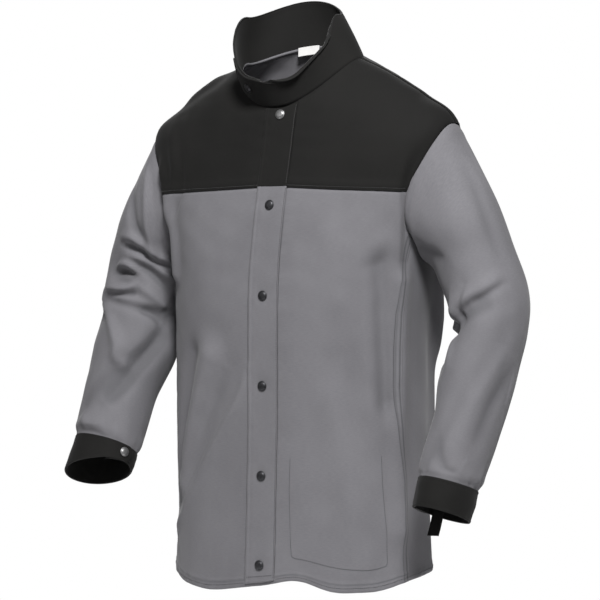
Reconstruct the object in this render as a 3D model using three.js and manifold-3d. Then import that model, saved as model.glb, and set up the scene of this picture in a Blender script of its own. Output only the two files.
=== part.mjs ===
// A cloth work jacket with a stand collar, a snap placket, a dark yoke and dark cuffs, shown as it is worn.
// Millimetres. +Z is up, the front faces -Y and the wearer's left is +X.
// The origin is in the middle of the neck opening, NECK_SIDE_RISE below the neck seam at its sides.
import * as THREE from "three";
import { mergeVertices } from "three/addons/utils/BufferGeometryUtils.js";
import Module from "manifold-3d";

const wasm = await Module();
wasm.setup();

// Body sizes
const BODY_LENGTH = 762; // from the origin down to the front hem
const BODY_HALF_WIDTH = 210;
const FRONT_DEPTH = 142;
const BACK_DEPTH = 128;
const HEM_TILT = 9; // the wearer's left side of the hem hangs this much higher
const HEM_FOLD = 18; // depth of the doubled cloth along the hem
const YOKE_DROP = 160; // from the origin down to the yoke seam
const YOKE_SLOPE = 2.4; // degrees by which the front's yoke seam falls towards the armholes
const SIDE_SEAM_FORWARD = 38; // the side seams lie this far in front of the middle

// Shoulder and neck sizes
const SHOULDER_HALF_WIDTH = 257;
const SHOULDER_DROP = 66;
const SHOULDER_FRONT_DEPTH = 107;
const SHOULDER_BACK_DEPTH = 106;
const NECK_HALF_WIDTH = 102;
const NECK_SIDE_RISE = 38;
const NECK_FRONT_DEPTH = 88;
const NECK_FRONT_DROP = 38;
const NECK_BACK_DEPTH = 62;
const NECK_BACK_RISE = 65;

// Collar sizes
const COLLAR_HALF_WIDTH = 81; // at its top edge
const COLLAR_SIDE_HEIGHT = 72;
const COLLAR_FRONT_HEIGHT = 41;
const COLLAR_FRONT_LEAN = 30; // the front leans out this far
const COLLAR_BACK_HEIGHT = 75;
const COLLAR_BACK_LEAN = 4;
const COLLAR_SWAY = 19.5; // the top edge sits this far towards the wearer's right
const COLLAR_OVERLAP = 64; // how far the free end passes the middle of the front
const COLLAR_UNDERLAP_ANGLE = 6; // degrees from the middle of the front to the end that lies below
const COLLAR_CLIMB_ANGLE = 40; // degrees over which the free end climbs onto the layer below
const COLLAR_LEFT_PUSH = 20; // between the front and the wearer's left, the top edge bulges out this far
const COLLAR_LEFT_DIP = 27; // and it lies this much lower there
const COLLAR_BULGE_RISE = 20; // degrees from the wearer's left to where the bulge is full
const COLLAR_BULGE_FALL = [55, 95]; // degrees between which it fades towards the front
const COLLAR_TILT = 2.5; // the top edge leans down this much towards the wearer's left

// Sleeve sizes
const SLEEVE_DROP = 478; // from the middle of the armhole down to the cuff's edge
const SLEEVE_HALF_WIDTH = 70; // at the upper arm
const WRIST_HALF_WIDTH = 50;
const ARMHOLE_HALF_ANGLE = 30; // degrees round the body, seen from above
const CUFF_OVERLAP_ANGLE = 45;
const CUFF_CLIMB_ANGLE = 30; // degrees over which the free end climbs onto the layer below
const LEFT_CUFF_END_ANGLE = 215; // where the cuff's free end lies, from the outer side over the front
const RIGHT_CUFF_END_ANGLE = 175;

// Cloth, and the gaps between the pieces
const CLOTH = 2;
const DOUBLE_CLOTH = 2.6;
const HEM_CLOTH = 3;
const SEAM_GAP = 0.4;

// Placket and snaps
const PLACKET_WIDTH = 50;
const PLACKET_THICKNESS = 3;
const PLACKET_CENTRE = 5;
const PLACKET_TOP_SHIFT = 8; // at the neck the strip lies this much nearer the wearer's left
const PLACKET_TOP_GAP = 4;
const PLACKET_HEM_GAP = 5;
const SNAP_COUNT = 6;
const FIRST_SNAP_DROP = 14; // below the neck seam
const SNAP_PITCH = 135.5;
const SNAP_RADIUS = 7.6;
const SNAP_HEIGHT = 3.4;
const SNAP_PLACE = 0.42; // share of a free end's overlap at which its snap sits

// Small cloth pieces
const LABEL_WIDTH = 38;
const LABEL_HEIGHT = 14;
const LABEL_THICKNESS = 0.8;
const LABEL_SEAT = 4.5; // its top edge lies this far above the neck seam
const TAB_WIDTH = 16;
const TAB_LENGTH = 54;
const TAB_INSIDE = 0.36; // share of its length that lies inside the cuff
const TAB_THICKNESS = 2.4;
const TAB_ANGLE = 230; // round the wrist, from the outer side over the front

const CUTTER_REACH = 2000; // half the size of the blocks that cut the cloth
const RING_SAG_POWER = 1.8; // how closely a ring's height keeps to its sides before it dips in front
const SLEEVE_FADE = 0.08; // share of a sleeve over which its folds grow from the armhole
const HEAD_RINGS = 7; // rings of the sleeve that the armhole's cut follows

const GREY_CLOTH = { color: 0x77757a, roughness: 0.9, metalness: 0 };
const BLACK_CLOTH = { color: 0x201f1e, roughness: 0.92, metalness: 0 };
const WHITE_CLOTH = { color: 0xe6e4e2, roughness: 0.8, metalness: 0 };
const DARK_METAL = { color: 0x2c2b2c, roughness: 0.38, metalness: 0.9 };

// Rings of the body from the hem up to the armpit. half_width is a share of BODY_HALF_WIDTH, the depths
// are shares of FRONT_DEPTH and BACK_DEPTH, and the drops are shares of BODY_LENGTH.
const BODY_RINGS = [
  // half_width, side_drop, front_depth, front_drop, back_depth, back_drop, squareness
  [1.016, 0.993, 1.0, 1.0, 0.922, 0.987, 2.35],
  [1.0, 0.899, 0.979, 0.906, 0.898, 0.899, 2.35],
  [0.985, 0.787, 0.958, 0.787, 0.875, 0.787, 2.4],
  [0.984, 0.663, 0.93, 0.663, 0.875, 0.663, 2.45],
  [0.995, 0.545, 0.923, 0.545, 0.938, 0.545, 2.5],
  [1.014, 0.427, 0.915, 0.433, 1.0, 0.427, 2.5],
  [1.038, 0.328, 0.894, 0.357, 1.0, 0.344, 2.5],
];

// The ring across the chest, between the armpit (0) and the shoulder tip (1)
const CHEST_RING = [0.545, 0.484, 0.4, 0.507, 0.364, 0.461, 2.5];

// The shoulder tip's ring: drops in front and behind, as shares of BODY_LENGTH
const SHOULDER_FRONT_SHARE = 0.184;
const SHOULDER_BACK_SHARE = 0.125;
const SHOULDER_SQUARENESS = 2.5;
const NECK_SQUARENESS = 2;

// Rings of the shoulder slope, from the neck seam (0) to the shoulder tip (1)
const SLOPE_RINGS = [
  // half_width, side_drop, front_depth, front_drop, back_depth, back_drop, squareness
  [0.684, 0.569, 0.526, 0.549, 0.682, 0.54, 0.6],
  [0.329, 0.235, 0.263, 0.216, 0.318, 0.21, 0.2],
];

// Rings of each sleeve from the armhole down to the cuff's edge. out, fore and drop place a ring's middle
// from the armhole's middle, as shares of SLEEVE_DROP. lean and swing turn it, in degrees. The half widths
// are shares of SLEEVE_HALF_WIDTH. The last two rows are the cuff's, as shares of WRIST_HALF_WIDTH.
const LEFT_SLEEVE_RINGS = [
  // out, fore, drop, lean, swing, half_out, half_fore
  [0.081, 0.004, 0.119, 43, 0, 1, 1.06],
  [0.135, 0, 0.215, 20, 2, 0.86, 1],
  [0.189, 0.017, 0.349, 16, 8, 0.85, 0.97],
  [0.212, 0.046, 0.445, 8, 14, 0.72, 0.89],
  [0.184, 0.088, 0.575, -2, 20, 0.785, 0.87],
  [0.17, 0.13, 0.713, -3, 19, 0.69, 0.83],
  [0.144, 0.172, 0.841, -6, 18, 0.66, 0.8],
  [0.137, 0.19, 0.893, -7, 19, 0.61, 0.75],
  [0.133, 0.209, 0.938, -7, 20, 0.85, 1.02],
  [0.129, 0.226, 0.982, -7, 21, 0.82, 0.98],
];
const RIGHT_SLEEVE_RINGS = [
  // out, fore, drop, lean, swing, half_out, half_fore
  [0.081, 0.004, 0.117, 43, 0, 0.98, 1.06],
  [0.117, 0, 0.222, 16, 2, 0.99, 1],
  [0.144, 0.017, 0.366, 6, 8, 0.97, 0.97],
  [0.142, 0.042, 0.443, 0, 14, 0.92, 0.91],
  [0.145, 0.077, 0.548, -2, 20, 1.03, 0.86],
  [0.173, 0.117, 0.671, 4, 24, 0.865, 0.8],
  [0.187, 0.165, 0.812, 5, 27, 0.81, 0.76],
  [0.187, 0.186, 0.858, 5, 29, 0.79, 0.69],
  [0.186, 0.211, 0.897, -6, 30, 1.12, 0.96],
  [0.186, 0.238, 0.94, -18, 30, 1.13, 0.98],
];
const CUFF_ROWS = 2;

// Folds. Each runs from one end to the other, given as angles in degrees and as shares of the height from
// the hem to the neck, or of the sleeve. width and height are shares of FOLD_SIZE, and a height below zero
// is a hollow.
const FOLD_SIZE = 30;
const BODY_FOLDS = [
  // angle_from, up_from, angle_to, up_to, width, height
  [-112, 0.36, -136, 0.17, 0.9, 0.36],
  [-126, 0.36, -142, 0.2, 0.8, -0.2],
  [-142, 0.68, -146, 0.5, 0.7, 0.26],
  [-38, 0.52, -30, 0.3, 0.9, -0.26],
  [-22, 0.48, -20, 0.1, 0.8, 0.22],
  [-60, 0.3, -44, 0.06, 1.1, 0.18],
  [52, 0.5, 66, 0.2, 1.2, 0.3],
  [128, 0.5, 112, 0.2, 1.2, 0.3],
  [90, 0.42, 88, 0.1, 1.3, -0.26],
  [35, 0.56, 62, 0.5, 0.9, -0.24],
  [145, 0.56, 118, 0.5, 0.9, -0.24],
  [32, 0.5, 32, 0.42, 1.7, 0.62],
  [32, 0.36, 32, 0.26, 1.6, 0.5],
  [-178, 0.9, -178, 0.85, 1.3, 0.22],
  [0, 0.79, 0, 0.76, 0.9, -0.2],
];
const LEFT_SLEEVE_FOLDS = [
  // angle_from, along_from, angle_to, along_to, width, height
  [190, 0.42, 70, 0.34, 0.7, -0.12],
  [185, 0.38, 100, 0.3, 0.6, 0.14],
  [40, 0.44, 120, 0.72, 1.0, -0.1],
  [250, 0.36, 300, 0.5, 0.9, 0.14],
];
const RIGHT_SLEEVE_FOLDS = [
  // angle_from, along_from, angle_to, along_to, width, height
  [70, 0.24, 170, 0.36, 0.7, -0.14],
  [60, 0.32, 165, 0.4, 0.6, -0.12],
  [60, 0.28, 150, 0.33, 0.5, 0.12],
  [170, 0.46, 60, 0.66, 0.7, -0.12],
  [250, 0.36, 300, 0.5, 0.9, 0.14],
];

// Each collar ring between the neck seam and the top edge, as shares of the way for every value of a ring
const COLLAR_MIDDLE = [0.4, 0.48, 0.53, 0.58, 0.8, 0.52, 0];
const COLLAR_MIDDLE_SWAY = 0.55;

// A snap cap's profile from its seat up
const SNAP_PROFILE = [
  // radius, height
  [0, 0],
  [1, 0],
  [1, 0.3],
  [0.9, 0.5],
  [0.62, 0.92],
  [0.3, 1],
  [0, 0.96],
];

// The cuff tab's outline, as shares of its length and of its half width
const TAB_OUTLINE = [
  // length, width
  [0, -1],
  [0, 1],
  [0.86, 1],
  [1, 0.2],
  [0.94, -1],
];

// Slices of the coarse grids
const BODY_SLICES = { around: 42, along: 18 };
const SLEEVE_SLICES = { around: 20, along: 17 };
const CUFF_SLICES = { around: 26, along: 3 };
const COLLAR_SLICES = { around: 40, along: 4 };
const PLACKET_SLICES = 4; // across the strip
const SNAP_SIDES = 14;

const degrees = THREE.MathUtils.degToRad;

// Interpolates between the rows of a table along a smooth curve, for a share from 0 to 1.
function between(rows, share) {
  const last = rows.length - 1;
  const place = Math.min(Math.max(share, 0), 1) * last;
  const i = Math.min(Math.floor(place), last - 1);
  const f = place - i;
  const before = rows[Math.max(i - 1, 0)];
  const after = rows[Math.min(i + 2, last)];
  return rows[i].map((from, k) => {
    const to = rows[i + 1][k];
    const bend = 2 * before[k] - 5 * from + 4 * to - after[k];
    const twist = -before[k] + 3 * from - 3 * to + after[k];
    return from + 0.5 * ((to - before[k]) * f + bend * f * f + twist * f ** 3);
  });
}

const neckRing = [
  NECK_HALF_WIDTH,
  NECK_SIDE_RISE,
  NECK_FRONT_DEPTH,
  -NECK_FRONT_DROP,
  NECK_BACK_DEPTH,
  NECK_BACK_RISE,
  NECK_SQUARENESS,
];
const shoulderRing = [
  SHOULDER_HALF_WIDTH,
  -SHOULDER_DROP,
  SHOULDER_FRONT_DEPTH,
  -SHOULDER_FRONT_SHARE * BODY_LENGTH,
  SHOULDER_BACK_DEPTH,
  -SHOULDER_BACK_SHARE * BODY_LENGTH,
  SHOULDER_SQUARENESS,
];

function mixedRing(from, to, shares) {
  return from.map((value, k) => value + (to[k] - value) * shares[k]);
}

// Every ring of the body in millimetres, from the hem to the neck seam
const bodyRings = BODY_RINGS.map(([half, side, front, frontDrop, back, backDrop, square]) => [
  half * BODY_HALF_WIDTH,
  -side * BODY_LENGTH,
  front * FRONT_DEPTH,
  -frontDrop * BODY_LENGTH,
  back * BACK_DEPTH,
  -backDrop * BODY_LENGTH,
  square,
]);
const armpitRing = bodyRings[bodyRings.length - 1];
bodyRings.push(mixedRing(armpitRing, shoulderRing, [...CHEST_RING.slice(0, 6), 0]));
bodyRings.push(shoulderRing);
SLOPE_RINGS.forEach((shares) => bodyRings.push(mixedRing(neckRing, shoulderRing, shares)));
bodyRings.push(neckRing);
const ARMPIT_UP = (BODY_RINGS.length - 1) / (bodyRings.length - 1);
const SHOULDER_UP = (BODY_RINGS.length + 1) / (bodyRings.length - 1);

// A point of a ring: angle 0 is the wearer's left, -90 degrees the front, 90 the back.
function ringPoint(ring, angle) {
  const [halfWidth, sideZ, frontDepth, frontZ, backDepth, backZ, square] = ring;
  const c = Math.cos(angle);
  const s = Math.sin(angle);
  const depth = s < 0 ? frontDepth : backDepth;
  const endZ = s < 0 ? frontZ : backZ;
  return new THREE.Vector3(
    halfWidth * Math.sign(c) * Math.abs(c) ** (2 / square),
    depth * Math.sign(s) * Math.abs(s) ** (2 / square),
    sideZ + (endZ - sideZ) * Math.abs(s) ** RING_SAG_POWER,
  );
}

function bodyPoint(angle, up) {
  const point = ringPoint(between(bodyRings, up), angle);
  const down = Math.max(-point.z / BODY_LENGTH, 0);
  point.z += HEM_TILT * (point.x / BODY_HALF_WIDTH) * down ** 2;
  return point;
}

// The armhole's edge on the body: turn 0 is the shoulder tip, 90 the front, 180 the armpit.
function armholePoint(side, turn) {
  const up = (ARMPIT_UP + SHOULDER_UP) / 2 + ((SHOULDER_UP - ARMPIT_UP) / 2) * Math.cos(turn);
  const reach = degrees(ARMHOLE_HALF_ANGLE) * Math.sin(turn);
  return bodyPoint(side > 0 ? -reach : Math.PI + reach, up);
}

function ringMiddle(points) {
  const middle = new THREE.Vector3();
  points.forEach((point) => middle.add(point));
  return middle.divideScalar(points.length);
}

function turns(count) {
  return Array.from({ length: count }, (_, k) => (2 * Math.PI * k) / count);
}

// One sleeve with its cuff: a loft from the armhole through the table's rings.
function sleeveSurface(side, rows) {
  const middle = ringMiddle(turns(SLEEVE_SLICES.around).map((turn) => armholePoint(side, turn)));
  const rings = rows.map(([out, fore, drop, lean, swing, halfOut, halfFore], k) => {
    const width = k < rows.length - CUFF_ROWS ? SLEEVE_HALF_WIDTH : WRIST_HALF_WIDTH;
    const axis = new THREE.Vector3(
      side * Math.sin(degrees(lean)) * Math.cos(degrees(swing)),
      -Math.sin(degrees(swing)),
      -Math.cos(degrees(lean)) * Math.cos(degrees(swing)),
    );
    const outward = new THREE.Vector3(side, 0, 0);
    outward.addScaledVector(axis, -outward.dot(axis)).normalize();
    const forward = new THREE.Vector3().crossVectors(axis, outward).multiplyScalar(side);
    return {
      centre: new THREE.Vector3(side * out, -fore, -drop).multiplyScalar(SLEEVE_DROP).add(middle),
      outward: outward.multiplyScalar(halfOut * width),
      forward: forward.multiplyScalar(halfFore * width),
    };
  });
  const centres = [middle, ...rings.map((ring) => ring.centre)].map((centre) => centre.toArray());
  return {
    centre: (along) => new THREE.Vector3(...between(centres, along)),
    point(turn, along) {
      const through = rings.map((ring) =>
        ring.centre
          .clone()
          .addScaledVector(ring.outward, Math.cos(turn))
          .addScaledVector(ring.forward, Math.sin(turn))
          .toArray(),
      );
      return new THREE.Vector3(...between([armholePoint(side, turn).toArray(), ...through], along));
    },
  };
}

// How far a table of folds lifts the cloth at a place on a surface that is unrolled to girth by length.
function foldLift(folds, angle, share, girth, length) {
  const whole = 2 * Math.PI;
  return folds.reduce((lift, [angleFrom, from, angleTo, to, width, height]) => {
    const start = new THREE.Vector2((degrees(angleFrom) / whole) * girth, from * length);
    const run = new THREE.Vector2((degrees(angleTo) / whole) * girth, to * length).sub(start);
    const nearest = [-1, 0, 1].map((lap) => {
      const here = new THREE.Vector2((angle / whole + lap) * girth, share * length).sub(start);
      const part = THREE.MathUtils.clamp(here.dot(run) / run.lengthSq(), 0, 1);
      return here.addScaledVector(run, -part).length();
    });
    const q = (Math.min(...nearest) / (width * FOLD_SIZE)) ** 2;
    return lift + height * FOLD_SIZE * (1 - q) * Math.exp(-q);
  }, 0);
}

// The outward normal of surface(a, b), whose middle line is inside(b).
function outwardNormal(surface, inside, a, b) {
  const step = 0.01;
  const low = Math.max(b - step, 0);
  const high = Math.min(b + step, 1);
  const across = surface(a + step, b).sub(surface(a - step, b));
  const along = surface(a, high).sub(surface(a, low));
  const normal = across.cross(along).normalize();
  return normal.dot(surface(a, b).sub(inside(b))) < 0 ? normal.negate() : normal;
}

// A closed shell between two grids of points, [row][column]. A round one joins its last column to its first.
function shellSolid(outer, inner, round) {
  const rows = outer.length;
  const columns = outer[0].length;
  const top = rows - 1;
  const end = columns - 1;
  const positions = [...outer.flat(), ...inner.flat()].flatMap((point) => point.toArray());
  const outerAt = (i, j) => i * columns + (j % columns);
  const innerAt = (i, j) => rows * columns + outerAt(i, j);
  const index = [];
  const quad = (a, b, c, d) => index.push(a, b, c, a, c, d);
  const spans = round ? columns : end;
  for (let i = 0; i < top; i += 1) {
    for (let j = 0; j < spans; j += 1) {
      quad(outerAt(i, j), outerAt(i, j + 1), outerAt(i + 1, j + 1), outerAt(i + 1, j));
      quad(innerAt(i, j), innerAt(i + 1, j), innerAt(i + 1, j + 1), innerAt(i, j + 1));
    }
  }
  for (let j = 0; j < spans; j += 1) {
    quad(outerAt(0, j), innerAt(0, j), innerAt(0, j + 1), outerAt(0, j + 1));
    quad(outerAt(top, j), outerAt(top, j + 1), innerAt(top, j + 1), innerAt(top, j));
  }
  for (let i = 0; !round && i < top; i += 1) {
    quad(outerAt(i, 0), outerAt(i + 1, 0), innerAt(i + 1, 0), innerAt(i, 0));
    quad(outerAt(i, end), innerAt(i, end), innerAt(i + 1, end), outerAt(i + 1, end));
  }
  const geometry = new THREE.BufferGeometry();
  geometry.setAttribute("position", new THREE.Float32BufferAttribute(positions, 3));
  geometry.setIndex(index);
  return solidOf(geometry);
}

// A geometry as a solid, turned so that its faces point out.
function solidOf(geometry) {
  const bare = geometry.clone();
  bare.deleteAttribute("normal");
  bare.deleteAttribute("uv");
  const merged = mergeVertices(bare, 1e-4);
  const build = (triVerts) =>
    new wasm.Manifold(
      new wasm.Mesh({ numProp: 3, vertProperties: merged.attributes.position.array, triVerts }),
    );
  const corners = new Uint32Array(merged.index.array);
  const solid = build(corners);
  return solid.volume() < 0 ? build(corners.slice().reverse()) : solid;
}

function geometryOf(solid) {
  const { vertProperties, triVerts } = solid.getMesh();
  const geometry = new THREE.BufferGeometry();
  geometry.setAttribute("position", new THREE.BufferAttribute(vertProperties, 3));
  geometry.setIndex(new THREE.BufferAttribute(triVerts, 1));
  geometry.computeVertexNormals();
  return geometry;
}

// A block from one corner to the other, for cutting along straight seams
function block(low, high) {
  const size = high.map((value, k) => value - low[k]);
  const box = new THREE.BoxGeometry(...size);
  box.translate(...low.map((value, k) => value + size[k] / 2));
  return solidOf(box);
}
const FAR = CUTTER_REACH;
const halfGap = SEAM_GAP / 2;
const above = (z) => block([-FAR, -FAR, z + halfGap], [FAR, FAR, FAR]);
const below = (z) => block([-FAR, -FAR, -FAR], [FAR, FAR, z - halfGap]);
const infront = (y) => block([-FAR, -FAR, -FAR], [FAR, y - halfGap, FAR]);
const behind = (y) => block([-FAR, y + halfGap, -FAR], [FAR, FAR, FAR]);
const leftOf = (x) => block([x + halfGap, -FAR, -FAR], [FAR, FAR, FAR]);
const rightOf = (x) => block([-FAR, -FAR, -FAR], [x - halfGap, FAR, FAR]);

// A cutter tipped by an angle in degrees about the line across the front at a height z
function tipped(cutter, z, angle) {
  return cutter
    .translate([0, 0, -z])
    .rotate([0, angle, 0])
    .translate([0, 0, z]);
}

function steps(count) {
  return Array.from({ length: count + 1 }, (_, k) => k / count);
}

const group = new THREE.Group();
function add(name, solid, look) {
  const mesh = new THREE.Mesh(geometryOf(solid), new THREE.MeshStandardMaterial(look));
  mesh.name = name;
  group.add(mesh);
}

// The body's cloth as one shell, thicker along the hem
const bodyAxis = () => new THREE.Vector3(0, 0, 0);
const bodyGirth = Math.PI * (BODY_HALF_WIDTH + (FRONT_DEPTH + BACK_DEPTH) / 2);
function bodyOutward(angle, up) {
  const normal = outwardNormal(bodyPoint, bodyAxis, angle, up);
  const point = bodyPoint(angle, up);
  return normal.x * point.x + normal.y * point.y < 0 ? normal.negate() : normal;
}
function bodyCloth(angle, up, offset) {
  const lift = foldLift(BODY_FOLDS, angle, up, bodyGirth, BODY_LENGTH);
  return bodyPoint(angle, up).addScaledVector(bodyOutward(angle, up), lift + offset);
}
const hemShare = HEM_FOLD / BODY_LENGTH;
const hemStep = (HEM_FOLD + 2 * HEM_CLOTH) / BODY_LENGTH;
function bodyUps() {
  return [0, hemShare, hemStep, ...steps(BODY_SLICES.along).slice(1)];
}
function bodyShell() {
  const ups = bodyUps();
  const angles = turns(BODY_SLICES.around);
  const outer = ups.map((up) => angles.map((angle) => bodyCloth(angle, up, 0)));
  const inner = ups.map((up) =>
    angles.map((angle) => bodyCloth(angle, up, up <= hemShare ? -HEM_CLOTH : -CLOTH)),
  );
  return shellSolid(outer, inner, true);
}

// Where the cuff seam lies along a sleeve, and the sleeve's cloth
const SEAM_ALONG = (LEFT_SLEEVE_RINGS.length - CUFF_ROWS) / LEFT_SLEEVE_RINGS.length;
const sleeveGirth = 2 * Math.PI * SLEEVE_HALF_WIDTH;

function sleeveCloth(surface, folds, turn, along, offset) {
  const normal = outwardNormal(surface.point, surface.centre, turn, along);
  const fade = THREE.MathUtils.smoothstep(along, 0, SLEEVE_FADE);
  const lift = fade * foldLift(folds, turn, along, sleeveGirth, SLEEVE_DROP);
  return surface.point(turn, along).addScaledVector(normal, lift + offset);
}

// The heights along a sleeve at which its cloth is drawn, from the armhole to the cuff seam
function sleeveAlongs() {
  const start = SEAM_GAP / SLEEVE_DROP;
  const end = SEAM_ALONG - SEAM_GAP / SLEEVE_DROP;
  return steps(SLEEVE_SLICES.along).map((share) => start + (end - start) * share);
}

// A solid tube through rings of points, closed by a fan at each end
function tubeSolid(rings) {
  const count = rings[0].length;
  const ends = [rings[0], rings[rings.length - 1]].map((ring) => ringMiddle(ring));
  const positions = [...rings.flat(), ...ends].flatMap((point) => point.toArray());
  const last = count * (rings.length - 1);
  const index = [];
  for (let k = 0; k < count; k += 1) {
    const next = (k + 1) % count;
    index.push(last + count, next, k, last + count + 1, last + k, last + next);
    for (let i = 0; i < last; i += count) {
      index.push(i + k, i + next, i + count + next, i + k, i + count + next, i + count + k);
    }
  }
  const geometry = new THREE.BufferGeometry();
  geometry.setAttribute("position", new THREE.Float32BufferAttribute(positions, 3));
  geometry.setIndex(index);
  return solidOf(geometry);
}

// What a sleeve's opening takes out of the body: a prism along X through the armhole, a gap wider than the
// sleeve's end, and the head of the sleeve itself with the same gap.
function armholeCutter(side, surface, folds) {
  const gap = 2 * SEAM_GAP;
  const edge = turns(SLEEVE_SLICES.around).map((turn) => armholePoint(side, turn));
  const middle = ringMiddle(edge);
  const grown = edge.map((point) => {
    const arm = point.clone().sub(middle).setX(0);
    return point.clone().addScaledVector(arm.normalize(), gap);
  });
  const reach = (SHOULDER_HALF_WIDTH - NECK_HALF_WIDTH) / 3;
  const outline = (x) => grown.map((point) => point.clone().setX(side * x));
  const prism = tubeSolid([outline(NECK_HALF_WIDTH + reach), outline(SHOULDER_HALF_WIDTH + reach)]);
  const headRings = sleeveAlongs()
    .slice(0, HEAD_RINGS)
    .map((along) =>
      turns(SLEEVE_SLICES.around).map((turn) => sleeveCloth(surface, folds, turn, along, gap)),
    );
  return prism.add(tubeSolid(headRings));
}

const leftSleeve = sleeveSurface(1, LEFT_SLEEVE_RINGS);
const rightSleeve = sleeveSurface(-1, RIGHT_SLEEVE_RINGS);
const cloth = bodyShell()
  .subtract(armholeCutter(1, leftSleeve, LEFT_SLEEVE_FOLDS))
  .subtract(armholeCutter(-1, rightSleeve, RIGHT_SLEEVE_FOLDS));
const shoulderLine = 0;
const frontTop = cloth.intersect(infront(shoulderLine));
const frontLower = cloth.intersect(infront(-SIDE_SEAM_FORWARD));
const sides = [
  ["left", leftOf(PLACKET_CENTRE), YOKE_SLOPE],
  ["right", rightOf(PLACKET_CENTRE), -YOKE_SLOPE],
];
sides.forEach(([side, sideCutter, slope]) => {
  const yokeCutter = tipped(above(-YOKE_DROP), -YOKE_DROP, slope);
  const panelCutter = tipped(below(-YOKE_DROP), -YOKE_DROP, slope);
  add(`front_yoke_${side}`, frontTop.intersect(sideCutter).intersect(yokeCutter), BLACK_CLOTH);
  add(`front_panel_${side}`, frontLower.intersect(sideCutter).intersect(panelCutter), GREY_CLOTH);
});
const backTop = cloth.intersect(behind(shoulderLine));
const backLower = cloth.intersect(behind(-SIDE_SEAM_FORWARD));
add("back_yoke", backTop.intersect(above(-YOKE_DROP)), BLACK_CLOTH);
add("back_panel", backLower.intersect(below(-YOKE_DROP)), GREY_CLOTH);

function sleeveSolid(surface, folds) {
  const grid = (offset) =>
    sleeveAlongs().map((along) =>
      turns(SLEEVE_SLICES.around).map((turn) => sleeveCloth(surface, folds, turn, along, offset)),
    );
  return shellSolid(grid(0), grid(-CLOTH), true);
}

// The cuff is one band wrapped round the wrist, whose free end lies over its start.
function cuffSolid(surface, endAngle) {
  const begin = degrees(endAngle - CUFF_OVERLAP_ANGLE);
  const sweep = 2 * Math.PI + degrees(CUFF_OVERLAP_ANGLE);
  const climb = degrees(CUFF_CLIMB_ANGLE);
  const start = SEAM_ALONG + SEAM_GAP / SLEEVE_DROP;
  const alongs = steps(CUFF_SLICES.along).map((share) => start + (1 - start) * share);
  const climbed = DOUBLE_CLOTH + SEAM_GAP;
  const layer = (travel) => climbed * THREE.MathUtils.smoothstep(travel, 2 * Math.PI - climb, 2 * Math.PI);
  const grid = (offset) =>
    alongs.map((along) =>
      steps(CUFF_SLICES.around).map((share) => {
        const travel = share * sweep;
        const turn = begin + travel;
        const normal = outwardNormal(surface.point, surface.centre, turn, along);
        return surface.point(turn, along).addScaledVector(normal, layer(travel) + offset);
      }),
    );
  return shellSolid(grid(0), grid(-DOUBLE_CLOTH), false);
}

add("sleeve_left", sleeveSolid(leftSleeve, LEFT_SLEEVE_FOLDS), GREY_CLOTH);
add("sleeve_right", sleeveSolid(rightSleeve, RIGHT_SLEEVE_FOLDS), GREY_CLOTH);
add("cuff_left", cuffSolid(leftSleeve, LEFT_CUFF_END_ANGLE), BLACK_CLOTH);
add("cuff_right", cuffSolid(rightSleeve, RIGHT_CUFF_END_ANGLE), BLACK_CLOTH);

// The collar stands on the neck seam and wraps past the middle of the front.
const collarTop = [
  COLLAR_HALF_WIDTH,
  NECK_SIDE_RISE + COLLAR_SIDE_HEIGHT,
  NECK_FRONT_DEPTH + COLLAR_FRONT_LEAN,
  COLLAR_FRONT_HEIGHT - NECK_FRONT_DROP,
  NECK_BACK_DEPTH + COLLAR_BACK_LEAN,
  NECK_BACK_RISE + COLLAR_BACK_HEIGHT,
  NECK_SQUARENESS,
];
const collarMiddle = mixedRing(neckRing, collarTop, COLLAR_MIDDLE);
// A collar ring's last value is how far its middle is swayed along X.
const SWAY = neckRing.length;
const collarRings = [
  [...neckRing, 0],
  [...collarMiddle, -COLLAR_MIDDLE_SWAY * COLLAR_SWAY],
  [...collarTop, -COLLAR_SWAY],
];
// How full the top edge's bulge is, between the wearer's left and the front
function collarBulge(angle) {
  const turn = THREE.MathUtils.euclideanModulo(-angle, 2 * Math.PI);
  const rise = THREE.MathUtils.smoothstep(turn, 0, degrees(COLLAR_BULGE_RISE));
  const fall = THREE.MathUtils.smoothstep(turn, ...COLLAR_BULGE_FALL.map(degrees));
  return rise * (1 - fall);
}
function collarPoint(angle, up) {
  const ring = between(collarRings, up);
  const point = ringPoint(ring, angle);
  const bulge = collarBulge(angle) * up ** 2;
  point.x += ring[SWAY] + COLLAR_LEFT_PUSH * bulge;
  point.z -= COLLAR_LEFT_DIP * bulge + COLLAR_TILT * (point.x / COLLAR_HALF_WIDTH) * up ** 2;
  return point;
}
const collarAxis = (up) => new THREE.Vector3(between(collarRings, up)[SWAY], 0, 0);
function collarCloth(angle, up, offset) {
  const point = collarPoint(angle, up);
  const normal = outwardNormal(collarPoint, collarAxis, angle, up);
  const outward = normal.x * point.x + normal.y * point.y;
  return point.addScaledVector(outward < 0 ? normal.negate() : normal, offset);
}
const collarEnd = Math.asin(COLLAR_OVERLAP / NECK_HALF_WIDTH);
const collarStart = -Math.PI / 2 + degrees(COLLAR_UNDERLAP_ANGLE);
function collarLayer(travel) {
  const whole = 2 * Math.PI;
  const begin = whole - degrees(COLLAR_CLIMB_ANGLE);
  return THREE.MathUtils.smoothstep(travel, begin, whole) * (DOUBLE_CLOTH + SEAM_GAP);
}
function collarSolid() {
  const sweep = 2 * Math.PI + degrees(COLLAR_UNDERLAP_ANGLE) + collarEnd;
  const rise = SEAM_GAP / COLLAR_FRONT_HEIGHT;
  const grid = (offset) =>
    steps(COLLAR_SLICES.along).map((share) =>
      steps(COLLAR_SLICES.around).map((part) => {
        const travel = part * sweep;
        const up = rise + (1 - rise) * share;
        return collarCloth(collarStart - travel, up, collarLayer(travel) + offset);
      }),
    );
  return shellSolid(grid(0), grid(-DOUBLE_CLOTH), false);
}
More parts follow.
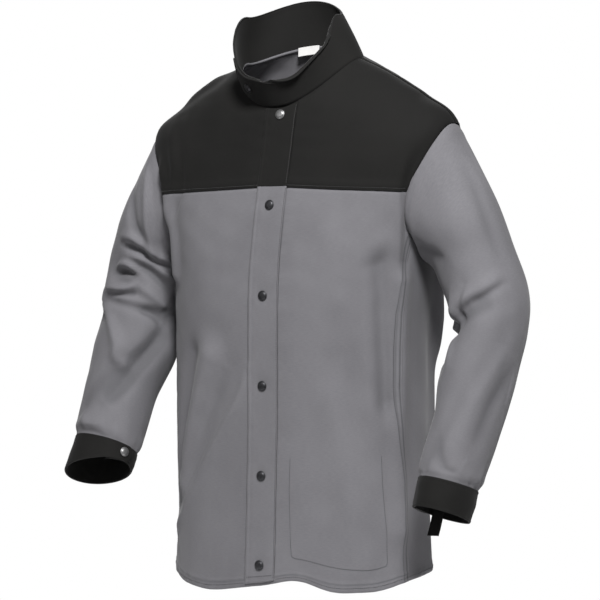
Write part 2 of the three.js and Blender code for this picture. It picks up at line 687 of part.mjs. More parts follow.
add("collar", collarSolid(), BLACK_CLOTH);

// The height share at which the middle of the front lies at a height z
function frontUp(z) {
  let low = 0;
  let high = 1;
  for (let k = 0; k < 30; k += 1) {
    const middle = (low + high) / 2;
    if (bodyPoint(-Math.PI / 2, middle).z < z) {
      low = middle;
    } else {
      high = middle;
    }
  }
  return low;
}

// A place on the placket: across runs from -1 to 1, and lift is measured from the front's cloth.
function placketFrame(across, z) {
  const up = frontUp(z);
  const nearNeck = THREE.MathUtils.smoothstep(z, -2 * YOKE_DROP, -NECK_FRONT_DROP);
  const x = PLACKET_CENTRE + PLACKET_TOP_SHIFT * nearNeck + (across * PLACKET_WIDTH) / 2;
  const [halfWidth, , , , , , square] = between(bodyRings, up);
  const angle = -Math.acos(Math.sign(x) * (Math.abs(x) / halfWidth) ** (square / 2));
  return { point: bodyCloth(angle, up, 0), normal: bodyOutward(angle, up) };
}
const placketTop = -NECK_FRONT_DROP - PLACKET_TOP_GAP;
const placketBottom = bodyPoint(-Math.PI / 2, 0).z + PLACKET_HEM_GAP;
function placketSolid() {
  const rowHeights = bodyUps()
    .map((up) => bodyPoint(-Math.PI / 2, up).z)
    .filter((z) => z > placketBottom + PLACKET_HEM_GAP && z < placketTop - PLACKET_TOP_GAP);
  const heights = [placketBottom, ...rowHeights, placketTop];
  const grid = (lift) =>
    heights.map((z) =>
      steps(PLACKET_SLICES).map((share) => {
        const { point, normal } = placketFrame(2 * share - 1, z);
        return point.addScaledVector(normal, lift);
      }),
    );
  return shellSolid(grid(2 * SEAM_GAP + PLACKET_THICKNESS), grid(2 * SEAM_GAP), false);
}
const placket = placketSolid();
add("placket_yoke", placket.intersect(above(-YOKE_DROP)), BLACK_CLOTH);
add("placket_body", placket.intersect(below(-YOKE_DROP)), GREY_CLOTH);

// A snap's cap: a flat flange with a shallow dome, its axis along +Z from its seat.
function snapGeometry() {
  const profile = SNAP_PROFILE.map(
    ([radius, height]) => new THREE.Vector2(radius * SNAP_RADIUS, height * SNAP_HEIGHT),
  );
  const cap = new THREE.LatheGeometry(profile, SNAP_SIDES);
  cap.rotateX(Math.PI / 2);
  return geometryOf(solidOf(cap));
}
function addSnap(name, seat, normal) {
  const mesh = new THREE.Mesh(snapGeometry(), new THREE.MeshStandardMaterial(DARK_METAL));
  mesh.name = name;
  mesh.position.copy(seat).addScaledVector(normal, SEAM_GAP);
  mesh.quaternion.setFromUnitVectors(new THREE.Vector3(0, 0, 1), normal);
  group.add(mesh);
}
for (let k = 0; k < SNAP_COUNT; k += 1) {
  const { point, normal } = placketFrame(0, -NECK_FRONT_DROP - FIRST_SNAP_DROP - k * SNAP_PITCH);
  const seat = point.addScaledVector(normal, 2 * SEAM_GAP + PLACKET_THICKNESS);
  addSnap(`front_snap_${k + 1}`, seat, normal);
}

const collarSnapAngle = -Math.PI / 2 - collarEnd * SNAP_PLACE;
const collarSnapUp = 0.5;
const collarSeat = collarCloth(collarSnapAngle, collarSnapUp, DOUBLE_CLOTH + 2 * SEAM_GAP);
const collarNormal = collarSeat
  .clone()
  .sub(collarCloth(collarSnapAngle, collarSnapUp, 0))
  .normalize();
addSnap("collar_snap", collarSeat, collarNormal);

function addCuffSnap(name, surface, endAngle) {
  const turn = degrees(endAngle - SNAP_PLACE * CUFF_OVERLAP_ANGLE);
  const along = (SEAM_ALONG + 1) / 2;
  const normal = outwardNormal(surface.point, surface.centre, turn, along);
  const seat = surface.point(turn, along).addScaledVector(normal, DOUBLE_CLOTH + SEAM_GAP);
  addSnap(name, seat, normal);
}
addCuffSnap("cuff_snap_left", leftSleeve, LEFT_CUFF_END_ANGLE);
addCuffSnap("cuff_snap_right", rightSleeve, RIGHT_CUFF_END_ANGLE);

// The white neck label hangs inside the back of the collar from the neck seam.
function labelSolid() {
  const labelUp = LABEL_SEAT / COLLAR_BACK_HEIGHT;
  const middle = Math.PI / 2 + Math.asin(COLLAR_SWAY / NECK_HALF_WIDTH);
  const spread = LABEL_WIDTH / 2 / NECK_HALF_WIDTH;
  const top = collarCloth(middle, labelUp, 0).z;
  const grid = (offset) =>
    steps(2).map((share) =>
      steps(6).map((part) => {
        const point = collarCloth(middle + spread * (2 * part - 1), labelUp, offset);
        return point.setZ(top - LABEL_HEIGHT * share);
      }),
    );
  const back = -DOUBLE_CLOTH - 2 * SEAM_GAP;
  return shellSolid(grid(back), grid(back - LABEL_THICKNESS), false);
}
add("neck_label", labelSolid(), WHITE_CLOTH);

// A short tab hangs out of the left cuff from its inner wall.
function tabSolid() {
  const turn = degrees(TAB_ANGLE);
  const edge = leftSleeve.point(turn, 1);
  const seam = leftSleeve.point(turn, SEAM_ALONG + (1 - SEAM_ALONG) / 2);
  const normal = outwardNormal(leftSleeve.point, leftSleeve.centre, turn, 1);
  const down = edge.clone().sub(seam).normalize();
  const across = new THREE.Vector3().crossVectors(down, normal).normalize();
  // The cuff's wall curves towards the tab's edges by this much, at most
  const sagitta = TAB_WIDTH ** 2 / (6 * WRIST_HALF_WIDTH);
  const seat = edge
    .clone()
    .addScaledVector(down, -TAB_INSIDE * TAB_LENGTH)
    .addScaledVector(normal, -DOUBLE_CLOTH - 2 * SEAM_GAP - sagitta);
  const outline = TAB_OUTLINE.map(
    ([length, width]) => new THREE.Vector2((width * TAB_WIDTH) / 2, length * TAB_LENGTH),
  );
  const tab = new THREE.ExtrudeGeometry(new THREE.Shape(outline), {
    depth: TAB_THICKNESS,
    bevelEnabled: false,
  });
  tab.applyMatrix4(new THREE.Matrix4().makeBasis(across, down, normal.clone().negate()));
  tab.translate(seat.x, seat.y, seat.z);
  return solidOf(tab);
}
add("cuff_tab_left", tabSolid(), BLACK_CLOTH);

export default group;
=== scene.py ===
"""The looks of a cloth work jacket with a stand collar, a snap placket, a dark yoke and dark cuffs.

The wearer's left is +X, the front faces -Y and +Z is up. Shapes are worked out in millimetres, and every
mesh is made in metres.
"""
import math

import bpy
import numpy as np
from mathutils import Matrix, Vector
from mathutils.bvhtree import BVHTree


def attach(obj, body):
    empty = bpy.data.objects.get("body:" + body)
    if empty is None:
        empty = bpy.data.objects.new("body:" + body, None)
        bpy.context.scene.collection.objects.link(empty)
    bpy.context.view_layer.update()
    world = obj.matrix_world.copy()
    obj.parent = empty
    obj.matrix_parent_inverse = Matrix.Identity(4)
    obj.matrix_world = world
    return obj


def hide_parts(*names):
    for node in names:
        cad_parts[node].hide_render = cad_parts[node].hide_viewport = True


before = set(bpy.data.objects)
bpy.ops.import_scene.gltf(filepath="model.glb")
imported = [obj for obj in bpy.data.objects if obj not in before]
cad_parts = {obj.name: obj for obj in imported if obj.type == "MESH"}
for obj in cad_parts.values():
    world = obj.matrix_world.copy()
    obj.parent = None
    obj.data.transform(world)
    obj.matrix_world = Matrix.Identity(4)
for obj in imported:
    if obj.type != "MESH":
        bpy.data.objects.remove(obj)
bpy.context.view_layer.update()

MM = 0.001

# Body sizes
BODY_LENGTH = 762
BODY_HALF_WIDTH = 210
FRONT_DEPTH = 142
BACK_DEPTH = 128
HEM_TILT = 9
YOKE_DROP = 160
YOKE_SLOPE = 2.4

# Shoulder and neck sizes
SHOULDER_HALF_WIDTH = 257
SHOULDER_DROP = 66
SHOULDER_FRONT_DEPTH = 107
SHOULDER_BACK_DEPTH = 106
SHOULDER_FRONT_SHARE = 0.184
SHOULDER_BACK_SHARE = 0.125
NECK_HALF_WIDTH = 102
NECK_SIDE_RISE = 38
NECK_FRONT_DEPTH = 88
NECK_FRONT_DROP = 38
NECK_BACK_DEPTH = 62
NECK_BACK_RISE = 65
RING_SAG_POWER = 1.8

# Collar sizes
COLLAR_HALF_WIDTH = 81
COLLAR_SIDE_HEIGHT = 72
COLLAR_FRONT_HEIGHT = 41
COLLAR_FRONT_LEAN = 30
COLLAR_BACK_HEIGHT = 75
COLLAR_BACK_LEAN = 4
COLLAR_SWAY = 19.5
COLLAR_OVERLAP = 64
COLLAR_UNDERLAP_ANGLE = 6
COLLAR_CLIMB_ANGLE = 40
COLLAR_LEFT_PUSH = 20
COLLAR_LEFT_DIP = 27
COLLAR_BULGE_RISE = 34
COLLAR_BULGE_FALL = (55, 95)
COLLAR_TILT = 2.5
COLLAR_CORNER = 9
COLLAR_MIDDLE = (0.4, 0.48, 0.53, 0.58, 0.8, 0.52, 0)
COLLAR_MIDDLE_SWAY = 0.55

# Sleeve sizes
SLEEVE_DROP = 478
SLEEVE_HALF_WIDTH = 70
WRIST_HALF_WIDTH = 50
ARMHOLE_HALF_ANGLE = 30
CUFF_OVERLAP_ANGLE = 45
CUFF_CLIMB_ANGLE = 30
CUFF_END_ANGLES = {1: 215, -1: 175}
CUFF_CORNER = 9

# Cloth, seams and stitches
CLOTH = 2.0
DOUBLE_CLOTH = 2.6
SEAM_GAP = 0.4
SEAM_LAP = 6.0
SEAM_LIFT = 1.2
STRIP_LAP = 6.0
HEM_STITCH = 11.0
EDGE_STITCH = 4.0
SECOND_STITCH = 10.0
STITCH_PITCH = 3.2
STITCH_LENGTH = 2.4
THREAD_RADIUS = 0.5

# Placket, snaps and small cloth pieces
PLACKET_WIDTH = 50
PLACKET_THICKNESS = 3
PLACKET_CENTRE = 5
PLACKET_TOP_SHIFT = 8
PLACKET_TOP_GAP = 4
PLACKET_HEM_GAP = 5
SNAP_COUNT = 6
FIRST_SNAP_DROP = 14
SNAP_PITCH = 135.5
SNAP_RADIUS = 7.6
SNAP_HEIGHT = 3.4
SNAP_PLACE = 0.42
LABEL_WIDTH = 38
LABEL_HEIGHT = 14
LABEL_THICKNESS = 0.8
LABEL_SEAT = 4.5
TAB_WIDTH = 16
TAB_LENGTH = 54
TAB_INSIDE = 0.36
TAB_THICKNESS = 2.4
TAB_ANGLE = 230

# Rings of the body from the hem up, as shares of the body's sizes
BODY_RINGS = [
    # half_width, side_drop, front_depth, front_drop, back_depth, back_drop, squareness
    (1.016, 0.993, 1.0, 1.0, 0.922, 0.987, 2.35),
    (1.0, 0.899, 0.979, 0.906, 0.898, 0.899, 2.35),
    (0.985, 0.787, 0.958, 0.787, 0.875, 0.787, 2.4),
    (0.984, 0.663, 0.93, 0.663, 0.875, 0.663, 2.45),
    (0.995, 0.545, 0.923, 0.545, 0.938, 0.545, 2.5),
    (1.014, 0.427, 0.915, 0.433, 1.0, 0.427, 2.5),
    (1.038, 0.328, 0.894, 0.357, 1.0, 0.344, 2.5),
]
CHEST_RING = (0.545, 0.484, 0.4, 0.507, 0.364, 0.461, 0)
SLOPE_RINGS = [
    # half_width, side_drop, front_depth, front_drop, back_depth, back_drop, squareness
    (0.684, 0.569, 0.526, 0.549, 0.682, 0.54, 0.6),
    (0.329, 0.235, 0.263, 0.216, 0.318, 0.21, 0.2),
]
SHOULDER_SQUARENESS = 2.5
NECK_SQUARENESS = 2

# Rings of each sleeve from the armhole down to the cuff's edge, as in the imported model
SLEEVE_RINGS = {
    1: [
        # out, fore, drop, lean, swing, half_out, half_fore
        (0.081, 0.004, 0.119, 43, 0, 1, 1.06),
        (0.135, 0, 0.215, 20, 2, 0.86, 1),
        (0.189, 0.017, 0.349, 16, 8, 0.85, 0.97),
        (0.212, 0.046, 0.445, 8, 14, 0.72, 0.89),
        (0.184, 0.088, 0.575, -2, 20, 0.785, 0.87),
        (0.17, 0.13, 0.713, -3, 19, 0.69, 0.83),
        (0.144, 0.172, 0.841, -6, 18, 0.66, 0.8),
        (0.137, 0.19, 0.893, -7, 19, 0.61, 0.75),
        (0.133, 0.209, 0.938, -7, 20, 0.85, 1.02),
        (0.129, 0.226, 0.982, -7, 21, 0.82, 0.98),
    ],
    -1: [
        # out, fore, drop, lean, swing, half_out, half_fore
        (0.081, 0.004, 0.117, 43, 0, 0.98, 1.06),
        (0.117, 0, 0.222, 16, 2, 0.99, 1),
        (0.144, 0.017, 0.366, 6, 8, 0.97, 0.97),
        (0.142, 0.042, 0.443, 0, 14, 0.92, 0.91),
        (0.145, 0.077, 0.548, -2, 20, 1.03, 0.86),
        (0.173, 0.117, 0.671, 4, 24, 0.865, 0.8),
        (0.187, 0.165, 0.812, 5, 27, 0.81, 0.76),
        (0.187, 0.186, 0.858, 5, 29, 0.79, 0.69),
        (0.186, 0.211, 0.897, -6, 30, 1.12, 0.96),
        (0.186, 0.238, 0.94, -18, 30, 1.13, 0.98),
    ],
}
CUFF_ROWS = 2

# Broad folds of the cloth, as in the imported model. Each runs from one end to the other, in degrees round
# and in shares along.
BODY_FOLDS = [
    # angle_from, up_from, angle_to, up_to, width, height
    (-112, 0.36, -136, 0.17, 27, 10.8),
    (-126, 0.36, -142, 0.2, 24, -6),
    (-142, 0.68, -146, 0.5, 21, 7.8),
    (-38, 0.52, -30, 0.3, 27, -7.8),
    (-22, 0.48, -20, 0.1, 24, 6.6),
    (-60, 0.3, -44, 0.06, 33, 5.4),
    (52, 0.5, 66, 0.2, 36, 9),
    (128, 0.5, 112, 0.2, 36, 9),
    (90, 0.42, 88, 0.1, 39, -7.8),
    (35, 0.56, 62, 0.5, 27, -7.2),
    (145, 0.56, 118, 0.5, 27, -7.2),
    (32, 0.5, 32, 0.42, 51, 18.6),
    (32, 0.36, 32, 0.26, 48, 15),
    (-178, 0.9, -178, 0.85, 39, 6.6),
    (22, 0.84, 16, 0.76, 30, -6),
]
SLEEVE_FOLDS = {
    1: [
        # angle_from, along_from, angle_to, along_to, width, height
        (190, 0.42, 70, 0.34, 21, -3.6),
        (185, 0.38, 100, 0.3, 18, 4.2),
        (40, 0.44, 120, 0.72, 30, -3),
        (250, 0.36, 300, 0.5, 27, 4.2),
    ],
    -1: [
        # angle_from, along_from, angle_to, along_to, width, height
        (70, 0.24, 170, 0.36, 21, -4.2),
        (60, 0.32, 165, 0.4, 18, -3.6),
        (60, 0.28, 150, 0.33, 15, 3.6),
        (170, 0.46, 60, 0.66, 21, -3.6),
        (250, 0.36, 300, 0.5, 27, 4.2),
    ],
}

# Creases: finer folds along paths of places on the cloth, in degrees round and shares along. A height
# below zero is a hollow. steep draws in one side of a crease: the left of its run for more than zero.
BODY_CREASES = [
    # path, width, height, steep
    (((-152, 0.812), (-129, 0.75), (-126, 0.675), (-144, 0.585), (-155, 0.503)), 9, -3.0, 0.3),
    (((-158, 0.8), (-136, 0.745), (-133, 0.675), (-150, 0.585), (-160, 0.51)), 8, 3.0, 0.0),
    (((-38, 0.7), (-36, 0.641), (-28, 0.563), (-26, 0.508), (-27, 0.42)), 9, 4.6, 0.35),
    (((-31, 0.69), (-30, 0.641), (-22, 0.563), (-20, 0.508)), 10, -4.6, 0.0),
    (((-94, 0.345), (-100, 0.281), (-130, 0.139), (-154, 0.077)), 10, 6.6, 0.0),
    (((-103, 0.35), (-112, 0.29), (-138, 0.17), (-158, 0.11)), 14, -5.4, 0.0),
    (((-70, 0.62), (-62, 0.5), (-58, 0.36)), 22, 2.2, 0.0),
    (((-48, 0.5), (-50, 0.36), (-46, 0.22)), 22, -2.2, 0.0),
    (((70, 0.72), (84, 0.6), (80, 0.45)), 22, -4.3, 0.2),
    (((112, 0.7), (98, 0.58), (104, 0.42)), 22, 4.3, 0.2),
    (((60, 0.3), (78, 0.2), (70, 0.08)), 20, -4.1, 0.2),
    (((126, 0.32), (112, 0.2), (120, 0.06)), 20, -4.1, 0.2),
    (((28, 0.6), (44, 0.55), (62, 0.56)), 13, -4.6, 0.2),
    (((152, 0.6), (136, 0.55), (118, 0.56)), 13, -4.6, 0.2),
    (((18, 0.5), (30, 0.43), (48, 0.41)), 14, 4.1, 0.2),
    (((162, 0.5), (150, 0.43), (132, 0.41)), 14, 4.1, 0.2),
]
SLEEVE_CREASES = {
    1: [
        # path, width, height, steep
        (((112, 0.338), (90, 0.315), (73, 0.305), (40, 0.281)), 5, -5.2, 0.3),
        (((118, 0.32), (95, 0.296), (70, 0.285), (42, 0.262)), 10, 5.2, 0.0),
        (((95, 0.27), (106, 0.3), (115, 0.334), (119, 0.399)), 6, -5.2, 0.3),
        (((120, 0.27), (128, 0.32), (130, 0.38)), 9, 4.4, 0.0),
        (((5, 0.464), (30, 0.565), (44, 0.661)), 19, -6.4, 0.3),
        (((28, 0.44), (56, 0.56), (70, 0.66)), 17, 4.8, 0.0),
        (((155, 0.269), (160, 0.315), (144, 0.425), (150, 0.505)), 11, -7.2, 0.2),
        (((180, 0.36), (158, 0.38), (134, 0.44), (120, 0.5)), 8, 6.4, 0.2),
        (((190, 0.42), (168, 0.44), (140, 0.5)), 7, -6.8, 0.2),
        (((100, 0.66), (76, 0.73), (52, 0.75)), 9, -3.6, 0.2),
        (((20, 0.05), (30, 0.14), (34, 0.24)), 14, -3.2, 0.0),
        (((140, 0.06), (128, 0.13), (110, 0.2)), 13, -4.8, 0.2),
        (((215, 0.12), (232, 0.2), (240, 0.3)), 14, -6.8, 0.2),
        (((232, 0.1), (252, 0.2), (256, 0.3)), 12, 5.2, 0.2),
        (((196, 0.3), (228, 0.34), (262, 0.32)), 10, -7.2, 0.2),
        (((200, 0.38), (236, 0.41), (276, 0.38)), 11, 6.8, 0.2),
        (((232, 0.5), (262, 0.58), (268, 0.7)), 15, -6.0, 0.2),
    ],
    -1: [
        # path, width, height, steep
        (((38, 0.03), (65, 0.044), (93, 0.064), (116, 0.1), (129, 0.17)), 8, 9.6, 0.0),
        (((30, 0.07), (60, 0.082), (86, 0.1), (106, 0.128), (114, 0.18)), 8, -7.6, 0.0),
        (((73, 0.154), (96, 0.134), (118, 0.151), (137, 0.169), (152, 0.177)), 8, 9.2, 0.0),
        (((74, 0.176), (105, 0.172), (132, 0.199), (153, 0.208)), 7, -9.2, 0.0),
        (((88, 0.198), (118, 0.196), (146, 0.226), (166, 0.24)), 7, 7.6, 0.0),
        (((96, 0.214), (121, 0.225), (143, 0.25), (165, 0.28)), 8, -9.6, 0.0),
        (((68, 0.236), (86, 0.222), (106, 0.231)), 5.5, 8.9, 0.0),
        (((72, 0.25), (88, 0.24), (106, 0.244)), 4.5, -8.9, 0.0),
        (((64, 0.288), (91, 0.28), (109, 0.266)), 5.5, 8.4, 0.0),
        (((66, 0.3), (92, 0.298), (112, 0.29)), 5, -7.6, 0.0),
        (((112, 0.268), (134, 0.29), (160, 0.33)), 9, 7.9, 0.0),
        (((50, 0.285), (47, 0.335)), 19, 3.5, 0.0),
        (((50, 0.345), (74, 0.42), (93, 0.5), (103, 0.549), (130, 0.57)), 11, 8.9, 0.0),
        (((164, 0.41), (145, 0.49), (124, 0.6), (100, 0.655)), 16, -12.6, 0.0),
        (((120, 0.36), (140, 0.38), (160, 0.42)), 9, -7.2, 0.0),
        (((60, 0.68), (84, 0.72), (112, 0.7)), 10, 5.0, 0.0),
        (((215, 0.12), (232, 0.2), (240, 0.3)), 14, -7.2, 0.2),
        (((232, 0.1), (252, 0.2), (256, 0.3)), 12, 5.4, 0.2),
        (((196, 0.3), (228, 0.34), (262, 0.32)), 10, -7.6, 0.2),
        (((200, 0.38), (236, 0.41), (276, 0.38)), 11, 7.2, 0.2),
        (((232, 0.5), (262, 0.58), (268, 0.7)), 15, -6.2, 0.2),
    ],
}

# The line of stitches that holds the inner pocket, on the left front, and of the side seams
POCKET_LINE = [
    # angle, up
    (-79, 0.216),
    (-79, 0.173),
    (-78, 0.095),
    (-77.5, 0.062),
    (-76, 0.058),
    (-67, 0.054),
    (-53, 0.048),
    (-41, 0.045),
    (-31, 0.047),
    (-30, 0.052),
    (-30, 0.098),
    (-32, 0.171),
    (-33, 0.219),
]
SIDE_SEAM_LINE = [
    # height, distance in front of the middle
    (-762, 46),
    (-710, 44),
    (-650, 41),
    (-609, 41),
    (-573, 46),
    (-540, 51),
    (-500, 55),
    (-460, 58),
    (-400, 60),
    (-350, 60),
    (-310, 57),
    (-270, 50),
    (-160, 38),
]

# How far the hem hangs below its even line, at places round it
HEM_WAVES = [
    # angle, drop, width
    (-128, 10, 18),
    (-108, 8, 13),
    (-76, -13, 11),
    (-58, 5, 12),
    (-38, 8, 16),
    (40, 4, 18),
    (95, -4, 20),
    (140, 4, 16),
]

# The cloth's grids: the size of a cell, and where their lines crowd beside an edge
CELL = 4.0
FRONT_CELL = 3.2
SLEEVE_CELL = 2.9
BAND_MARKS = (0.5, 1.3, 2.6, EDGE_STITCH)
BAND_STITCH_MARKS = (*BAND_MARKS, 5.4)
EDGE_MARKS = (*BAND_STITCH_MARKS, 7.5, SECOND_STITCH, 12.5)
LAP_MARKS = (2, 4, 6, 8, 11, 15)
STRIP_MARKS = (2, 4, STRIP_LAP - 0.6, STRIP_LAP + 0.1, STRIP_LAP + 0.8, STRIP_LAP + 2, STRIP_LAP + 4)
HEM_MARKS = (0.5, 1.3, 3, 6, 8.5, 9.8, HEM_STITCH, 12.2, 13.5, 17, 21)

# Rough sizes of the pieces, which set how many cells their grids have
PANEL_HEIGHT = 0.78 * BODY_LENGTH
FRONT_YOKE_HEIGHT = 190
BACK_YOKE_HEIGHT = 225
SLEEVE_LENGTH = 0.92 * SLEEVE_DROP
CUFF_HEIGHT = 40
COLLAR_HEIGHT = 62
COLLAR_RADIUS = 88

# Snaps: the outline of a cap, and the sides of its rings
SNAP_PROFILE = [
    # radius, height, as shares of the cap's
    (0.96, 0.0),
    (1.0, 0.12),
    (0.985, 0.3),
    (0.93, 0.42),
    (0.87, 0.4),
    (0.83, 0.46),
    (0.8, 0.62),
    (0.72, 0.8),
    (0.55, 0.93),
    (0.3, 1.0),
]
SNAP_SIDES = 40

# One stitch, from end to end, and the sides of its thread
STITCH_PROFILE = [
    # share of its length, rise, share of the thread's radius
    (0, -0.1, 0.55),
    (0.25, 0.16, 1),
    (0.75, 0.16, 1),
    (1, -0.1, 0.55),
]
THREAD_SIDES = 5
PLACKET_STITCH = 2.0
PLACKET_HEM_STITCH = 10.0

# Camera, floor and lights. The frame is square.
CAMERA_AZIMUTH = 29.0
CAMERA_PITCH = 2.7
CAMERA_DISTANCE = 2.5
CAMERA_TARGET = (0.0, 0.0, -0.335)
CAMERA_FOCAL_PIXELS = 1590
FRAME_PIXELS = 600
TARGET_PIXEL_X = 303
SENSOR = 36.0
FLOOR_RADIUS = 0.95
FLOOR_Z = -1.05
FLOOR_SIDES = 96
WORLD_LIGHT = 0.2
LIGHTS = [
    # name, azimuth from the camera's, elevation, distance, size, power
    ("key", 6, 44, 3.2, 0.8, 150),
    ("fill", -50, 20, 3.4, 1.6, 8),
    ("rim", 185, 40, 3.0, 1.5, 60),
]

DEGREE = math.pi / 180
RELIEF_SEED = 11


def spline_weights(count, share):
    """The weights of each of count rows on the smooth curve through them, at shares from 0 to 1."""
    last = count - 1
    place = np.clip(share, 0, 1) * last
    low = np.minimum(np.floor(place).astype(int), last - 1)
    f = place - low
    terms = (
        (-1, -f + 2 * f**2 - f**3),
        (0, 2 - 5 * f**2 + 3 * f**3),
        (1, f + 4 * f**2 - 3 * f**3),
        (2, f**3 - f**2),
    )
    rows = np.arange(count)
    weights = np.zeros(np.shape(share) + (count,))
    for step, value in terms:
        nearest = np.clip(low + step, 0, last)
        weights += (rows == nearest[..., None]) * value[..., None] / 2
    return weights


def mixed(start, end, shares):
    return np.array(start) + (np.array(end) - np.array(start)) * np.array(shares)


def unit(vectors):
    return vectors / np.maximum(np.linalg.norm(vectors, axis=-1, keepdims=True), 1e-9)


def smooth(value, low, high):
    t = np.clip((value - low) / (high - low), 0, 1)
    return t * t * (3 - 2 * t)


def hump(value, middle, width):
    return np.exp(-(((value - middle) / width) ** 2))


def waves(seed, place, lengths):
    """A smooth random wave along a line, between about -1 and 1, made of waves of the given lengths."""
    rng = np.random.default_rng(seed)
    total = np.zeros(np.shape(place))
    for length in lengths:
        phase = rng.uniform(0, 2 * math.pi)
        total += np.sin(2 * math.pi * place / length + phase)
    return total / len(lengths)


def ripple(seed, x, y, length, count=9):
    """A smooth random relief over a surface, between about -1 and 1, with waves of about one length."""
    rng = np.random.default_rng(seed)
    total = np.zeros(np.shape(x))
    for _ in range(count):
        heading = rng.uniform(0, 2 * math.pi)
        wave = length * rng.uniform(0.7, 1.5)
        phase = rng.uniform(0, 2 * math.pi)
        total += np.sin(2 * math.pi * (x * math.cos(heading) + y * math.sin(heading)) / wave + phase)
    return total / math.sqrt(count)


# The rings of the body in millimetres

neck_ring = np.array([
    NECK_HALF_WIDTH,
    NECK_SIDE_RISE,
    NECK_FRONT_DEPTH,
    -NECK_FRONT_DROP,
    NECK_BACK_DEPTH,
    NECK_BACK_RISE,
    NECK_SQUARENESS,
])
shoulder_ring = np.array([
    SHOULDER_HALF_WIDTH,
    -SHOULDER_DROP,
    SHOULDER_FRONT_DEPTH,
    -SHOULDER_FRONT_SHARE * BODY_LENGTH,
    SHOULDER_BACK_DEPTH,
    -SHOULDER_BACK_SHARE * BODY_LENGTH,
    SHOULDER_SQUARENESS,
])
ring_scale = np.array([
    BODY_HALF_WIDTH,
    -BODY_LENGTH,
    FRONT_DEPTH,
    -BODY_LENGTH,
    BACK_DEPTH,
    -BODY_LENGTH,
    1,
])
body_rings = [np.array(row) * ring_scale for row in BODY_RINGS]
body_rings.append(mixed(body_rings[-1], shoulder_ring, CHEST_RING))
body_rings.append(shoulder_ring)
body_rings += [mixed(neck_ring, shoulder_ring, row) for row in SLOPE_RINGS]
body_rings.append(neck_ring)
body_rings = np.array(body_rings)
ARMPIT_UP = (len(BODY_RINGS) - 1) / (len(body_rings) - 1)
SHOULDER_UP = (len(BODY_RINGS) + 1) / (len(body_rings) - 1)
BODY_GIRTH = math.pi * (BODY_HALF_WIDTH + (FRONT_DEPTH + BACK_DEPTH) / 2)
SLEEVE_GIRTH = 2 * math.pi * SLEEVE_HALF_WIDTH
SEAM_ALONG = 1 - CUFF_ROWS / len(SLEEVE_RINGS[1])


def ring_point(ring, angle):
    """A point of each ring: angle 0 is the wearer's left, -90 degrees the front, 90 the back."""
    c = np.cos(angle)
    s = np.sin(angle)
    front = s < 0
    depth = np.where(front, ring[..., 2], ring[..., 4])
    end_z = np.where(front, ring[..., 3], ring[..., 5])
    power = 2 / ring[..., 6]
    return np.stack(
        [
            ring[..., 0] * np.sign(c) * np.abs(c) ** power,
            depth * np.sign(s) * np.abs(s) ** power,
            ring[..., 1] + (end_z - ring[..., 1]) * np.abs(s) ** RING_SAG_POWER,
        ],
        -1,
    )


def ring_at(up):
    return spline_weights(len(body_rings), up) @ body_rings


def body_point(angle, up):
    point = ring_point(ring_at(up), angle)
    down = np.maximum(-point[..., 2] / BODY_LENGTH, 0)
    point[..., 2] += HEM_TILT * (point[..., 0] / BODY_HALF_WIDTH) * down**2
    return point


def normals_of(surface, a, b, middle):
    """Outward unit normals of surface(a, b), away from the middle points."""
    step = 0.006
    across = surface(a + step, b) - surface(a - step, b)
    along = surface(a, np.minimum(b + step, 1)) - surface(a, np.maximum(b - step, 0))
    normal = unit(np.cross(across, along))
    away = np.sum(normal * (surface(a, b) - middle), -1, keepdims=True)
    return np.where(away < 0, -normal, normal)


def body_normal(angle, up):
    point = body_point(angle, up)
    middle = point * np.array([0, 0, 1])
    return normals_of(body_point, angle, up, middle)


def fold_lift(folds, angle, share, girth, length):
    """How far the broad folds lift the cloth at places on a surface that is unrolled to girth by length."""
    lift = np.zeros(np.shape(angle))
    x = angle / (2 * math.pi) * girth
    y = share * length
    for angle_from, from_share, angle_to, to_share, width, height in folds:
        start_x = angle_from / 360 * girth
        start_y = from_share * length
        run_x = (angle_to - angle_from) / 360 * girth
        run_y = (to_share - from_share) * length
        away = np.full(np.shape(angle), np.inf)
        for lap in (-1, 0, 1):
            here_x = x + lap * girth - start_x
            here_y = y - start_y
            part = np.clip((here_x * run_x + here_y * run_y) / (run_x**2 + run_y**2), 0, 1)
            away = np.minimum(away, np.hypot(here_x - part * run_x, here_y - part * run_y))
        q = (away / width) ** 2
        lift += height * (1 - q) * np.exp(-q)
    return lift


def crease_lift(creases, surface, points, normals):
    """How far the creases lift the cloth at points of a surface, by their distance from each path."""
    lift = np.zeros(points.shape[:-1])
    for path, width, height, steep in creases:
        shares = np.linspace(0, 1, 8 * (len(path) - 1) + 1)
        places = spline_weights(len(path), shares) @ np.array(path, float)
        line = surface(places[:, 0] * DEGREE, places[:, 1])
        nearest = np.full(lift.shape, np.inf)
        reached = np.zeros(lift.shape)
        for k, start in enumerate(line[:-1]):
            run = line[k + 1] - start
            part = np.clip((points - start) @ run / (run @ run), 0, 1)
            off = points - start - part[..., None] * run
            side = np.sign(np.sum(np.cross(run, normals) * off, -1))
            away = np.linalg.norm(off, axis=-1) * (1 - steep * side) / width
            reached = np.where(away < nearest, shares[k] + part * shares[1], reached)
            nearest = np.minimum(nearest, away)
        fade = np.sin(math.pi * np.clip(reached, 0.04, 0.96)) ** 0.6
        lift += height * fade * np.exp(-(nearest**1.8))
    return lift


# The front opening's placket, which the front panels meet

ARMHOLE_MIDDLE = (ARMPIT_UP + SHOULDER_UP) / 2
ARMHOLE_HALF_HEIGHT = (SHOULDER_UP - ARMPIT_UP) / 2


def front_z(up):
    return body_point(np.full(np.shape(up), -math.pi / 2), up)[..., 2]


def placket_middle(z):
    near_neck = smooth(z, -2 * YOKE_DROP, -NECK_FRONT_DROP)
    return PLACKET_CENTRE + PLACKET_TOP_SHIFT * near_neck


